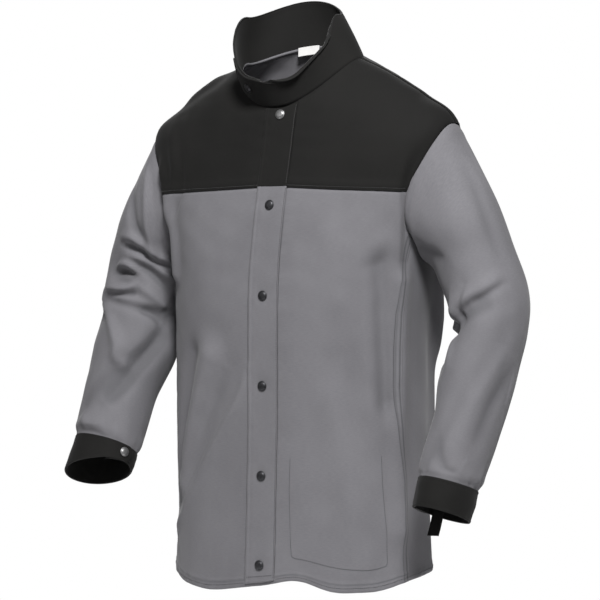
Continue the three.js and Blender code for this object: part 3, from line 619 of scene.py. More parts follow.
def angle_at_x(x, up):
    """The angle on the front at which the body lies at x."""
    ring = ring_at(up)
    return -np.arccos(np.sign(x) * (np.abs(x) / ring[..., 0]) ** (ring[..., 6] / 2))


def angle_at_side(y, up, side):
    """The angle near one side at which the body lies at y in front of the middle."""
    ring = ring_at(up)
    off = np.arcsin((y / ring[..., 2]) ** (ring[..., 6] / 2))
    return -off if side > 0 else -math.pi + off


def front_edge(inset):
    """The line down the front where a panel ends, at an inset from the placket's stitched edge."""

    def angle(up):
        z = front_z(up)
        return angle_at_x(placket_middle(z) + PLACKET_WIDTH / 2 + inset, up)

    return angle


def side_edge(side, inset=0):
    """The side seam's line up the body, or a line at an inset towards the front from it."""
    heights, places = np.array(SIDE_SEAM_LINE).T

    def angle(up):
        place_y = np.interp(ring_at(up)[..., 1], heights, places)
        return angle_at_side(place_y + inset, up, side)

    return angle


def level_up(angles, drop, slope):
    """The share of the height at which a level seam crosses each angle."""
    low = np.zeros(np.shape(angles))
    high = np.ones(np.shape(angles))
    for _ in range(24):
        middle = (low + high) / 2
        point = body_point(angles, middle)
        seam = -drop - np.abs(point[..., 0]) * math.tan(slope * DEGREE)
        below = point[..., 2] < seam
        low = np.where(below, middle, low)
        high = np.where(below, high, middle)
    return low


seam_angles = np.linspace(-math.pi, math.pi, 721)
front_yoke_ups = level_up(seam_angles, YOKE_DROP, YOKE_SLOPE)
back_yoke_ups = level_up(seam_angles, YOKE_DROP, 0)


def seam_up(ups, lap=0):
    """The height share of a level seam at any angle, or of a line that runs a lap above it."""
    share = lap / (BODY_LENGTH + NECK_SIDE_RISE)
    return lambda angle: np.interp((angle + math.pi) % (2 * math.pi) - math.pi, seam_angles, ups) + share


def constant(value):
    return lambda place: np.full(np.shape(place), float(value))


# Grids of cloth

def spaced(length, low_marks=(), high_marks=(), cell=CELL):
    """Shares of a length, about a cell apart, closer at the marks measured from its two ends."""
    count = max(round(length / cell), 2)
    even = np.arange(count + 1) / count
    marks = np.concatenate([np.array(low_marks) / length, 1 - np.array(high_marks) / length])
    if len(marks):
        crowd = np.abs(even[:, None] - marks[None, :]).min(1) * length < 0.35 * cell
        crowd[0] = crowd[-1] = False
        even = even[~crowd]
    return np.unique(np.concatenate([even, marks]))


def panel_places(columns, rows, start, end, bottom, top):
    """Angles and heights of a grid between two seams that run up the body and two that run round it."""
    s, t = np.meshgrid(columns, rows)
    up = t * 0.7
    for _ in range(6):
        angle = start(up) + s * (end(up) - start(up))
        up = bottom(angle) + t * (top(angle) - bottom(angle))
    return angle, up


def arc_from_start(points, axis):
    """Distances along the grid's lines, from their first point."""
    steps = np.linalg.norm(np.diff(points, axis=axis), axis=-1)
    start = np.zeros_like(np.take(steps, [0], axis))
    return np.concatenate([start, np.cumsum(steps, axis)], axis)


def arc_from_end(points, axis):
    """Distances along the grid's lines, from their last point."""
    return np.flip(arc_from_start(np.flip(points, axis), axis), axis)


def armhole_reach(angle, up):
    """How far a place lies from the nearer armhole's middle: 1 is on its edge."""
    turned = (angle + math.pi) % (2 * math.pi) - math.pi
    off = np.where(np.abs(turned) < math.pi / 2, turned, (turned % (2 * math.pi)) - math.pi)
    across = off / (ARMHOLE_HALF_ANGLE * DEGREE)
    tall = (up - ARMHOLE_MIDDLE) / ARMHOLE_HALF_HEIGHT
    return np.hypot(across, tall), across, tall


def snapped_to_armholes(angle, up):
    """Moves the grid's places next to an armhole's edge onto it, and says which cells lie outside."""
    reach, across, tall = armhole_reach(angle, up)
    inside = reach < 1
    padded = np.pad(inside, 1, mode="edge")
    beside = np.zeros_like(inside)
    for i in range(3):
        for j in range(3):
            beside |= ~padded[i:i + inside.shape[0], j:j + inside.shape[1]]
    edge = inside & beside
    scale = np.where(edge, 1 / np.maximum(reach, 1e-6), 1)
    off = across * ARMHOLE_HALF_ANGLE * DEGREE
    angle = angle + off * (scale - 1)
    up = ARMHOLE_MIDDLE + (up - ARMHOLE_MIDDLE) * scale
    gone = inside & ~edge
    corner = gone[:-1, :-1] | gone[1:, :-1] | gone[:-1, 1:] | gone[1:, 1:]
    on_edge = inside[:-1, :-1] & inside[1:, :-1] & inside[:-1, 1:] & inside[1:, 1:]
    return angle, up, ~(corner | on_edge)


def mesh_object(name, points, faces):
    mesh = bpy.data.meshes.new(name)
    mesh.from_pydata((np.asarray(points).reshape(-1, 3) * MM).tolist(), [], [list(f) for f in faces])
    mesh.validate()
    mesh.polygons.foreach_set("use_smooth", [True] * len(mesh.polygons))
    ob = bpy.data.objects.new(name, mesh)
    bpy.context.scene.collection.objects.link(ob)
    return ob


def grid_faces(rows, columns, keep=None, closed=False):
    index = np.arange(rows * columns).reshape(rows, columns)
    if closed:
        index = np.concatenate([index, index[:, :1]], 1)
    quads = np.stack([index[:-1, :-1], index[:-1, 1:], index[1:, 1:], index[1:, :-1]], -1)
    if keep is not None:
        quads = quads[keep]
    return quads.reshape(-1, 4)


def sheet_object(name, points, normals, flat, keep=None, closed=False):
    """One sheet of cloth over a grid, facing along the normals. flat holds its unrolled places, and its wear and
    painted shade.
    """
    rows, columns = points.shape[:2]
    faces = grid_faces(rows, columns, keep, closed)
    corners = points.reshape(-1, 3)[faces]
    facing = np.cross(corners[:, 1] - corners[:, 0], corners[:, 3] - corners[:, 0])
    if np.sum(facing * normals.reshape(-1, 3)[faces[:, 0]]) < 0:
        faces = faces[:, ::-1]
    used = np.unique(faces)
    renumber = np.full(rows * columns, -1)
    renumber[used] = np.arange(len(used))
    ob = mesh_object(name, points.reshape(-1, 3)[used], renumber[faces])
    layer = ob.data.attributes.new("cloth", "FLOAT_VECTOR", "POINT")
    layer.data.foreach_set("vector", flat.reshape(-1, 3)[used].astype(np.float32).ravel())
    return ob


def thicken(ob, thickness, outside, inside):
    """Gives a sheet its thickness on its inner side, and a material for each side."""
    ob.data.materials.append(outside)
    ob.data.materials.append(inside)
    solid = ob.modifiers.new("thickness", "SOLIDIFY")
    solid.thickness = thickness * MM
    solid.offset = -1
    solid.use_even_offset = False
    solid.material_offset = 1
    solid.material_offset_rim = 0


def place(ob, slot, node=None):
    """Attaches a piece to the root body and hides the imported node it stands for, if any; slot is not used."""
    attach(ob, "root")
    if node:
        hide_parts(node)


# Materials

def material(name):
    made = bpy.data.materials.new(name)
    made.use_nodes = True
    tree = made.node_tree
    return made, tree, tree.nodes["Principled BSDF"]


def math_node(tree, kind, first, second):
    node = tree.nodes.new("ShaderNodeMath")
    node.operation = kind
    for socket, value in zip(node.inputs, (first, second)):
        if isinstance(value, (int, float)):
            socket.default_value = value
        else:
            tree.links.new(value, socket)
    return node.outputs[0]


def weighted(tree, total, value, weight):
    """The total plus a value times its weight."""
    return math_node(tree, "ADD", total, math_node(tree, "MULTIPLY", value, weight))


def bumped(tree, shader, height, strength, depth):
    """Lets a height roughen the shader's surface, to a depth in millimetres."""
    bump = tree.nodes.new("ShaderNodeBump")
    bump.inputs["Strength"].default_value = strength
    bump.inputs["Distance"].default_value = depth * MM
    tree.links.new(height, bump.inputs["Height"])
    tree.links.new(bump.outputs["Normal"], shader.inputs["Normal"])


def object_place(tree):
    return tree.nodes.new("ShaderNodeTexCoord").outputs["Object"]


def noise(tree, place, scale, detail=3.0):
    node = tree.nodes.new("ShaderNodeTexNoise")
    node.inputs["Scale"].default_value = scale
    node.inputs["Detail"].default_value = detail
    tree.links.new(place, node.inputs["Vector"])
    return node.outputs["Fac"]


def stretched(tree, place, scale, turn=0.0):
    node = tree.nodes.new("ShaderNodeMapping")
    node.inputs["Scale"].default_value = scale
    node.inputs["Rotation"].default_value = (0, 0, turn)
    tree.links.new(place, node.inputs["Vector"])
    return node.outputs["Vector"]


def blended(tree, share, low, high):
    node = tree.nodes.new("ShaderNodeMix")
    node.data_type = "RGBA"
    tree.links.new(share, node.inputs["Factor"])
    for socket, value in ((node.inputs["A"], low), (node.inputs["B"], high)):
        if isinstance(value, tuple):
            socket.default_value = (*value, 1)
        else:
            tree.links.new(value, socket)
    return node.outputs["Result"]


def cloth_material(name, dark, light, worn, seam, sheen):
    """A twill: fine diagonal ribs, slubs along the weft, soft mottling, worn edges, and painted shade along
    stitch rows, in hollows and under the arms.
    """
    made, tree, shader = material(name)
    attribute = tree.nodes.new("ShaderNodeAttribute")
    attribute.attribute_name = "cloth"
    flat = attribute.outputs["Vector"]
    parts = tree.nodes.new("ShaderNodeSeparateXYZ")
    tree.links.new(flat, parts.inputs[0])
    mottle = noise(tree, stretched(tree, object_place(tree), (1, 1, 0.7)), 14)
    slub = noise(tree, stretched(tree, flat, (0.16, 1.1, 0)), 1.0, 2.0)
    fibre = noise(tree, stretched(tree, flat, (0.9, 0.9, 0)), 1.0, 4.0)
    tone = weighted(tree, weighted(tree, math_node(tree, "MULTIPLY", mottle, 0.45), slub, 0.35), fibre, 0.2)
    ramp = tree.nodes.new("ShaderNodeValToRGB")
    ramp.color_ramp.elements[0].position = 0.32
    ramp.color_ramp.elements[0].color = (*dark, 1)
    ramp.color_ramp.elements[1].position = 0.68
    ramp.color_ramp.elements[1].color = (*light, 1)
    tree.links.new(tone, ramp.inputs["Fac"])
    # Above zero the cloth attribute's Z lightens the colour towards worn, for rubbed edges. Below zero it darkens
    # it towards seam: painted shade along stitch rows, in hollows and under the arms.
    wear_and_shade = math_node(tree, "MULTIPLY", parts.outputs["Z"], math_node(tree, "ADD", fibre, 0.2))
    colour = blended(tree, wear_and_shade, ramp.outputs["Color"], worn)
    colour = blended(tree, math_node(tree, "MULTIPLY", parts.outputs["Z"], -1.0), colour, seam)
    tree.links.new(colour, shader.inputs["Base Color"])
    rib = tree.nodes.new("ShaderNodeTexWave")
    rib.wave_type = "BANDS"
    rib.inputs["Scale"].default_value = 0.35
    rib.inputs["Distortion"].default_value = 0.6
    rib.inputs["Detail"].default_value = 2.0
    tree.links.new(stretched(tree, flat, (1, 1, 0), 63 * DEGREE), rib.inputs["Vector"])
    height = weighted(tree, math_node(tree, "MULTIPLY", rib.outputs["Fac"], 0.6), slub, 0.5)
    bumped(tree, shader, height, 0.25, 0.12)
    rough = math_node(tree, "ADD", math_node(tree, "MULTIPLY", mottle, 0.12), 0.8)
    tree.links.new(rough, shader.inputs["Roughness"])
    shader.inputs["Sheen Weight"].default_value = sheen
    shader.inputs["Sheen Roughness"].default_value = 0.45
    shader.inputs["Specular IOR Level"].default_value = 0.25
    return made


def thread_material(name, dark, light):
    made, tree, shader = material(name)
    grain = noise(tree, object_place(tree), 900)
    tree.links.new(blended(tree, grain, dark, light), shader.inputs["Base Color"])
    shader.inputs["Roughness"].default_value = 0.6
    shader.inputs["Sheen Weight"].default_value = 0.2
    return made


def metal_material(name, dark, light, roughness):
    """Enamelled metal, worn a little brighter in patches and finely scratched."""
    made, tree, shader = material(name)
    patch = noise(tree, object_place(tree), 260, 5)
    scratch = noise(tree, stretched(tree, object_place(tree), (1, 1, 9)), 700, 2)
    tree.links.new(blended(tree, patch, dark, light), shader.inputs["Base Color"])
    rough = math_node(tree, "ADD", math_node(tree, "MULTIPLY", scratch, 0.2), roughness)
    tree.links.new(rough, shader.inputs["Roughness"])
    bumped(tree, shader, scratch, 0.12, 0.05)
    shader.inputs["Metallic"].default_value = 0.85
    return made


# Each seam colour below is the painted shade colour: for stitch rows, hollows and the sides under the arms.
grey = cloth_material(
    "grey_twill",
    dark=(0.126, 0.123, 0.133),
    light=(0.172, 0.169, 0.181),
    worn=(0.22, 0.217, 0.23),
    seam=(0.07, 0.07, 0.076),
    sheen=0.1,
)
black = cloth_material(
    "black_twill",
    dark=(0.0038, 0.0036, 0.0033),
    light=(0.0086, 0.0082, 0.0076),
    worn=(0.018, 0.018, 0.018),
    seam=(0.003, 0.003, 0.003),
    sheen=0.03,
)
white_weave = cloth_material(
    "white_weave",
    dark=(0.6, 0.59, 0.58),
    light=(0.74, 0.73, 0.72),
    worn=(0.8, 0.8, 0.8),
    seam=(0.4, 0.4, 0.4),
    sheen=0.05,
)
grey_thread = thread_material("grey_thread", (0.022, 0.022, 0.026), (0.045, 0.045, 0.05))
black_thread = thread_material("black_thread", (0.008, 0.008, 0.0085), (0.018, 0.018, 0.019))
gunmetal = metal_material("gunmetal", (0.03, 0.03, 0.033), (0.07, 0.07, 0.075), 0.34)
nickel = metal_material("nickel", (0.2, 0.2, 0.2), (0.34, 0.34, 0.34), 0.3)
LOOKS = {"grey_cloth": grey, "black_cloth": black}


# The body's panels

def body_relief(angle, up):
    """The folds and the soft unevenness of the body's cloth."""
    x = angle / (2 * math.pi) * BODY_GIRTH
    y = up * BODY_LENGTH
    lift = fold_lift(BODY_FOLDS, angle, up, BODY_GIRTH, BODY_LENGTH)
    lift += crease_lift(BODY_CREASES, body_point, body_point(angle, up), body_normal(angle, up))
    lift += 0.9 * ripple(RELIEF_SEED, x, y * 0.6, 150)
    lift += 0.25 * ripple(RELIEF_SEED + 1, x, y, 48)
    return lift * (1 - smooth(up, 0.98, 1))


def hem_drop(angle, up):
    """How far the hem's waves let the cloth hang, fading above the hem."""
    drop = np.zeros(np.shape(angle))
    for middle, amount, width in HEM_WAVES:
        off = (angle / DEGREE - middle + 180) % 360 - 180
        drop += amount * hump(off, 0, width)
    return drop * (1 - smooth(up, 0, 0.1))


def body_sheet(angle, up, relief):
    """Points and normals of cloth on the body, lifted by its folds and by the seams' relief."""
    normal = body_normal(angle, up)
    points = body_point(angle, up) + normal * (body_relief(angle, up) + relief)[..., None]
    points[..., 2] -= hem_drop(angle, up)
    return points, normal


def over_seam(distance, lift=SEAM_LIFT):
    """The relief of a folded edge that lies over the cloth below it, with its first row of stitches."""
    raised = lift * (1 - smooth(distance, 9, 18))
    rounded = -0.9 * (1 - smooth(distance, 0, 1.6))
    return raised + rounded - 0.45 * hump(distance, EDGE_STITCH, 1.3)


def under_seam(distance):
    """The relief of cloth that runs under the next piece, where distance is measured from the seam."""
    return -1.1 * (1 - smooth(distance, -1, 5)) - 0.4 * (1 - smooth(distance, -3, 0))


def pucker(seed, along, distance, middle, spread=9.0, height=0.4):
    """The small ripples that a row of stitches draws into the cloth."""
    return height * waves(seed, along, (11, 17, 26, 39)) * hump(distance, middle, spread)


def hollow_shade(lift):
    """Painted shade in the hollows of the cloth: darker colour where its folds sink in."""
    return 0.5 * smooth(-lift, 0.5, 6)


def under_arm_shade(angle, up):
    """Painted shade on the body's sides below the arms, where the light hardly reaches."""
    off = (angle / DEGREE + 90) % 180 - 90
    return 0.55 * hump(off, 0, 24) * smooth(up, 0.3, 0.46)


def neck_tuck(angle):
    """Rows of points that carry a yoke's cloth on under the collar and up inside it."""
    edge = body_point(angle, np.ones(angle.shape))
    normal = collar_normal(angle, np.zeros(angle.shape))
    inside = collar_point(angle, np.full(angle.shape, 0.045)) - 3.0 * normal
    return np.stack([edge - 1.2 * normal, edge - 2.9 * normal, inside])


def body_panel(name, angle, up, relief, wear_and_shade, slot):
    """A panel or yoke of the body, lined in grey, over a grid of places with its own relief, wear and painted
    shade.
    """
    angle, up, keep = snapped_to_armholes(angle, up)
    reach = armhole_reach(angle, up)[0]
    near = (reach - 1) * 90
    relief = relief + 0.8 * (1 - smooth(near, 4, 14)) - 0.7 * (1 - smooth(near, 0, 1.6))
    points, normals = body_sheet(angle, up, relief)
    # Painted shade: the cloth's hollows and the sides under the arms are darkened in its colour.
    wear_and_shade = wear_and_shade - np.maximum(0.35 * hollow_shade(body_relief(angle, up)), under_arm_shade(angle, up))
    flat = np.stack([angle / (2 * math.pi) * BODY_GIRTH, up * BODY_LENGTH, wear_and_shade], -1)
    if slot == "black_cloth":
        tuck = neck_tuck(angle[-1])
        points = np.concatenate([points, tuck])
        normals = np.concatenate([normals, np.repeat(normals[-1:], len(tuck), 0)])
        flat = np.concatenate([flat, np.repeat(flat[-1:], len(tuck), 0)])
        keep = np.concatenate([keep, np.ones((len(tuck), keep.shape[1]), bool)])
    ob = sheet_object(name, points, normals, flat, keep)
    thicken(ob, CLOTH, LOOKS[slot], grey)
    place(ob, slot, name)
    return ob


def beside_strip(distance):
    """The left front's relief: below the strip as far as its lap, and then level with the strip's face."""
    return 2.8 * smooth(distance, STRIP_LAP - 0.6, STRIP_LAP + 0.8) * (1 - smooth(distance, 12, 95)) - 0.4


def seam_shade(distance, row):
    """The darkening along a row of stitches."""
    return 0.55 * hump(distance, row, 1.1)


def edge_wear(distance, width=1.2):
    """The lighter, rubbed cloth along a folded edge."""
    return 0.3 * hump(distance, 0, width)


def hem_relief(from_edge, along, seed):
    """A turned hem: doubled cloth below its row of stitches, drawn in and rippled by them."""
    doubled = 0.9 * (1 - smooth(from_edge, HEM_STITCH + 1, HEM_STITCH + 5))
    rounded = -1.2 * (1 - smooth(from_edge, 0, 2.2))
    row = -0.7 * hump(from_edge, HEM_STITCH, 1.6)
    twist = 0.8 * waves(seed, along, (16, 23, 37)) * hump(from_edge, HEM_STITCH * 0.6, 9)
    return doubled + rounded + row + twist


def front_panel(side):
    """A grey front panel, from the hem up to the yoke seam and from the placket to the side seam."""
    name = "front_panel_left" if side > 0 else "front_panel_right"
    columns = spaced(0.24 * BODY_GIRTH, STRIP_MARKS, EDGE_MARKS, FRONT_CELL)
    rows = spaced(PANEL_HEIGHT, HEM_MARKS, LAP_MARKS, FRONT_CELL)
    start = front_edge(-STRIP_LAP)
    top = seam_up(front_yoke_ups, SEAM_LAP)
    angle, up = panel_places(columns, rows, start, side_edge(side), constant(0), top)
    base = body_point(angle, up)
    from_hem = arc_from_start(base, 0)
    from_top = arc_from_end(base, 0) - SEAM_LAP
    from_placket = arc_from_start(base, 1)
    from_side = arc_from_end(base, 1)
    relief = under_seam(from_top)
    relief += over_seam(from_side)
    relief += hem_relief(from_hem, from_placket, 21 + side)
    relief += pucker(31 + side, from_hem, from_side, 5)
    if side > 0:
        relief += beside_strip(from_placket) + pucker(41, from_hem, from_placket, STRIP_LAP, 14, 0.45)
    else:
        relief -= 1.6 * (1 - smooth(from_placket, 0, 46))
    wear_and_shade = edge_wear(from_side) + edge_wear(from_hem, 1.4) - seam_shade(from_hem, HEM_STITCH)
    wear_and_shade -= seam_shade(from_side, EDGE_STITCH) + seam_shade(from_side, SECOND_STITCH)
    return body_panel(name, angle, up, relief, wear_and_shade, "grey_cloth")


def back_panel():
    """The grey back, from one side seam to the other."""
    rows = spaced(PANEL_HEIGHT, HEM_MARKS, LAP_MARKS)
    columns = spaced(0.55 * BODY_GIRTH, LAP_MARKS, LAP_MARKS)
    start = side_edge(1, SEAM_LAP)
    right_edge = side_edge(-1, SEAM_LAP)
    top = seam_up(back_yoke_ups, SEAM_LAP)
    angle, up = panel_places(
        columns, rows, start, lambda up: right_edge(up) + 2 * math.pi, constant(0), top
    )
    base = body_point(angle, up)
    from_hem = arc_from_start(base, 0)
    from_top = arc_from_end(base, 0) - SEAM_LAP
    from_left = arc_from_start(base, 1) - SEAM_LAP
    from_right = arc_from_end(base, 1) - SEAM_LAP
    relief = under_seam(from_top) + under_seam(from_left) + under_seam(from_right)
    relief += hem_relief(from_hem, arc_from_start(base, 1), 25)
    wear_and_shade = edge_wear(from_hem, 1.4) - seam_shade(from_hem, HEM_STITCH)
    return body_panel("back_panel", angle, up, relief, wear_and_shade, "grey_cloth")


def front_yoke(side):
    """A black front yoke, from the yoke seam up to the neck and from the placket to the shoulder seam."""
    name = "front_yoke_left" if side > 0 else "front_yoke_right"
    columns = spaced(0.27 * BODY_GIRTH, STRIP_MARKS, (2, 4, 6))
    rows = spaced(FRONT_YOKE_HEIGHT, EDGE_MARKS, (1, 2.5))
    shoulder = constant(0.012 if side > 0 else -math.pi - 0.012)
    start = front_edge(-STRIP_LAP)
    angle, up = panel_places(columns, rows, start, shoulder, seam_up(front_yoke_ups), constant(1))
    base = body_point(angle, up)
    from_seam = arc_from_start(base, 0)
    from_placket = arc_from_start(base, 1)
    from_shoulder = arc_from_end(base, 1)
    relief = over_seam(from_seam) - 1.0 * (1 - smooth(from_shoulder, 0, 8))
    relief += pucker(51 + side, from_placket, from_seam, 4)
    if side > 0:
        relief += beside_strip(from_placket) * (1 - smooth(up, 0.98, 1))
    wear_and_shade = edge_wear(from_seam) - seam_shade(from_seam, EDGE_STITCH)
    return body_panel(name, angle, up, relief, wear_and_shade, "black_cloth")


def back_yoke():
    """The black back yoke, from the yoke seam up to the neck and from shoulder to shoulder."""
    columns = spaced(0.5 * BODY_GIRTH, EDGE_MARKS, EDGE_MARKS)
    rows = spaced(BACK_YOKE_HEIGHT, EDGE_MARKS, (1, 2.5))
    bottom = seam_up(back_yoke_ups)
    angle, up = panel_places(columns, rows, constant(0), constant(math.pi), bottom, constant(1))
    base = body_point(angle, up)
    from_seam = arc_from_start(base, 0)
    from_left = arc_from_start(base, 1)
    from_right = arc_from_end(base, 1)
    relief = over_seam(from_seam) + over_seam(from_left, 1.0) + over_seam(from_right, 1.0)
    relief += pucker(55, from_left, from_seam, 4)
    wear_and_shade = edge_wear(from_seam) + edge_wear(from_left) + edge_wear(from_right)
    return body_panel("back_yoke", angle, up, relief, wear_and_shade, "black_cloth")


# Sleeves and cuffs

def armhole_point(side, turn):
    up = ARMHOLE_MIDDLE + ARMHOLE_HALF_HEIGHT * np.cos(turn)
    reach = ARMHOLE_HALF_ANGLE * DEGREE * np.sin(turn)
    angle = -reach if side > 0 else math.pi + reach
    return body_point(angle, up), body_normal(angle, up)


def sleeve_rows(side):
    """Centre, outward and forward vectors of a sleeve's rings, and the middle of its armhole."""
    turns = np.arange(20) / 20 * 2 * math.pi
    middle = armhole_point(side, turns)[0].mean(0)
    rows = []
    for k, (out, fore, drop, lean, swing, half_out, half_fore) in enumerate(SLEEVE_RINGS[side]):
        width = SLEEVE_HALF_WIDTH if k < len(SLEEVE_RINGS[side]) - CUFF_ROWS else WRIST_HALF_WIDTH
        lean = lean * DEGREE
        swing = swing * DEGREE
        axis = np.array([
            side * math.sin(lean) * math.cos(swing),
            -math.sin(swing),
            -math.cos(lean) * math.cos(swing),
        ])
        outward = np.array([side, 0.0, 0.0])
        outward = unit(outward - axis * (outward @ axis))
        forward = side * np.cross(axis, outward)
        centre = middle + SLEEVE_DROP * np.array([side * out, -fore, -drop])
        rows.append((centre, outward * half_out * width, forward * half_fore * width))
    return middle, np.array(rows)


sleeve_frames = {side: sleeve_rows(side) for side in (1, -1)}


def sleeve_point(side, turn, along):
    _, rows = sleeve_frames[side]
    weights = spline_weights(len(rows) + 1, along)
    armhole = armhole_point(side, turn)[0]
    ring = np.tensordot(weights[..., 1:], rows, 1)
    round_ring = (
        ring[..., 0, :] + ring[..., 1, :] * np.cos(turn)[..., None] + ring[..., 2, :] * np.sin(turn)[..., None]
    )
    return weights[..., :1] * armhole + round_ring


def sleeve_centre(side, along):
    middle, rows = sleeve_frames[side]
    weights = spline_weights(len(rows) + 1, along)
    return weights[..., :1] * middle + weights[..., 1:] @ rows[:, 0]


def sleeve_normal(side, turn, along):
    return normals_of(lambda a, b: sleeve_point(side, a, b), turn, along, sleeve_centre(side, along))


def sleeve(side):
    """A grey sleeve, from under the armhole's edge down to under the cuff."""
    name = "sleeve_left" if side > 0 else "sleeve_right"
    rows = SEAM_ALONG * spaced(SLEEVE_LENGTH, (1, 3, 6), (1, 2.5, 4.5, 7, 10), SLEEVE_CELL)
    count = round(SLEEVE_GIRTH / SLEEVE_CELL)
    turns = np.arange(count) / count * 2 * math.pi
    turn, along = np.meshgrid(turns, rows)
    base = sleeve_point(side, turn, along)
    normal = sleeve_normal(side, turn, along)
    from_armhole = arc_from_start(base, 0)
    from_cuff = arc_from_end(base, 0)
    x = turn / (2 * math.pi) * SLEEVE_GIRTH
    y = along * SLEEVE_DROP
    lift = fold_lift(SLEEVE_FOLDS[side], turn, along, SLEEVE_GIRTH, SLEEVE_DROP) * smooth(along, 0, 0.08)
    creases = crease_lift(SLEEVE_CREASES[side], lambda a, b: sleeve_point(side, a, b), base, normal)
    lift += creases * smooth(from_armhole, 2, 14) * smooth(from_cuff, 2, 16)
    # Painted shade: the sleeve's inner side, towards the body, and its hollows are darkened in its colour.
    inner_side_shade = hump(turn / DEGREE, 195, 52) * smooth(along, 0.04, 0.2) * (1 - smooth(along, 0.45, 0.75))
    wear_and_shade = -np.maximum(hollow_shade(lift), 0.6 * inner_side_shade)
    lift += (0.8 * ripple(61 + side, x, y, 110) + 0.3 * ripple(65 + side, x, y, 40)) * smooth(from_armhole, 4, 40)
    lift += 1.2 * hump(from_armhole, 12, 8)
    lift += -1.4 * (1 - smooth(from_cuff, 0, 9)) + 1.2 * hump(from_cuff, 14, 8)
    lift += 0.8 * waves(71 + side, x, (24, 37, 62)) * hump(from_cuff, 10, 14)
    points = base + normal * lift[..., None]
    tucked, cloth_normal = armhole_point(side, turns)
    inward = unit(points[3] - points[0])
    hidden = tucked - 5 * inward - 2.4 * cloth_normal
    points = np.concatenate([hidden[None], (tucked - 1.2 * cloth_normal)[None], points[1:]])
    end = points[-1]
    down = unit(end - points[-3])
    points = np.concatenate([points, (end + 5 * down - 3.2 * normal[-1])[None]])
    normal = np.concatenate([normal[:1], normal, normal[-1:]])
    flat = np.stack([x, y, wear_and_shade], -1)
    flat = np.concatenate([flat[:1], flat, flat[-1:]])
    ob = sheet_object(name, points, normal, flat, closed=True)
    thicken(ob, CLOTH, grey, grey)
    place(ob, "grey_cloth", name)
    return ob


def corner_drop(distance, radius):
    """How far a rounded corner has dropped at a distance from the end of a band."""
    inside = np.clip((radius - distance) / radius, 0, 1)
    return radius * (1 - np.sqrt(1 - inside**2))


def cuff(side):
    """A black cuff: one band wrapped round the wrist, whose free end lies over its start."""
    name = "cuff_left" if side > 0 else "cuff_right"
    begin = (CUFF_END_ANGLES[side] - CUFF_OVERLAP_ANGLE) * DEGREE
    sweep = 2 * math.pi + CUFF_OVERLAP_ANGLE * DEGREE
    girth = 2 * math.pi * WRIST_HALF_WIDTH
    start = SEAM_ALONG + SEAM_GAP / SLEEVE_DROP
    rows = spaced(CUFF_HEIGHT, BAND_STITCH_MARKS, BAND_STITCH_MARKS)
    columns = spaced(girth * sweep / (2 * math.pi), (0.5, 1.3, 2.6, 4), (0.5, 1.3, 2.6, 4, 6))
    share, part = np.meshgrid(columns, rows)
    travel = share * sweep
    from_end = (1 - share) * girth * sweep / (2 * math.pi)
    corner = corner_drop(from_end, CUFF_CORNER) / CUFF_HEIGHT
    part = corner + part * (1 - 2 * corner)
    turn = begin + travel
    along = start + (1 - start) * part
    base = sleeve_point(side, turn, along)
    normal = sleeve_normal(side, turn, along)
    climb = CUFF_CLIMB_ANGLE * DEGREE
    lift = smooth(travel, 2 * math.pi - climb, 2 * math.pi) * (DOUBLE_CLOTH + SEAM_GAP)
    from_top = arc_from_start(base, 0)
    from_edge = arc_from_end(base, 0)
    x = turn / (2 * math.pi) * girth
    for distance in (from_top, from_edge, from_end):
        lift -= 0.8 * (1 - smooth(distance, 0, 1.8)) + 0.35 * hump(distance, EDGE_STITCH, 1.3)
    lift += 0.5 * ripple(81 + side, x, along * SLEEVE_DROP, 60)
    lift += pucker(85, x, from_top, 4, 6, 0.3) + pucker(86, x, from_edge, 4, 6, 0.3)
    points = base + normal * lift[..., None]
    wear_and_shade = 0.4 * (hump(from_edge, 0, 1.4) + hump(from_top, 0, 1.2) + hump(from_end, 0, 1.2))
    flat = np.stack([x, along * SLEEVE_DROP, np.minimum(wear_and_shade, 1)], -1)
    ob = sheet_object(name, points, normal, flat)
    thicken(ob, DOUBLE_CLOTH, black, black)
    place(ob, "black_cloth", name)
    return ob


# The collar

collar_top = np.array([
    COLLAR_HALF_WIDTH,
    NECK_SIDE_RISE + COLLAR_SIDE_HEIGHT,
    NECK_FRONT_DEPTH + COLLAR_FRONT_LEAN,
    COLLAR_FRONT_HEIGHT - NECK_FRONT_DROP,
    NECK_BACK_DEPTH + COLLAR_BACK_LEAN,
    NECK_BACK_RISE + COLLAR_BACK_HEIGHT,
    NECK_SQUARENESS,
    -COLLAR_SWAY,
])
collar_middle = np.append(mixed(neck_ring, collar_top[:7], COLLAR_MIDDLE), -COLLAR_MIDDLE_SWAY * COLLAR_SWAY)
collar_rings = np.array([np.append(neck_ring, 0), collar_middle, collar_top])
COLLAR_END = math.asin(COLLAR_OVERLAP / NECK_HALF_WIDTH)
COLLAR_START = (-90 + COLLAR_UNDERLAP_ANGLE) * DEGREE


def collar_bulge(angle):
    """How full the top edge's bulge is, between the wearer's left and the front."""
    turn = (-angle % (2 * math.pi)) / DEGREE
    return smooth(turn, 0, COLLAR_BULGE_RISE) * (1 - smooth(turn, *COLLAR_BULGE_FALL))


def collar_point(angle, up):
    ring = spline_weights(3, up) @ collar_rings
    point = ring_point(ring, angle)
    bulge = collar_bulge(angle) * up**2
    point[..., 0] += ring[..., 7] + COLLAR_LEFT_PUSH * bulge
    point[..., 2] -= COLLAR_LEFT_DIP * bulge + COLLAR_TILT * (point[..., 0] / COLLAR_HALF_WIDTH) * up**2
    return point


def collar_normal(angle, up):
    point = collar_point(angle, up)
    middle = point * np.array([0, 0, 1])
    middle[..., 0] = (spline_weights(3, up) @ collar_rings)[..., 7]
    return normals_of(collar_point, angle, up, middle)


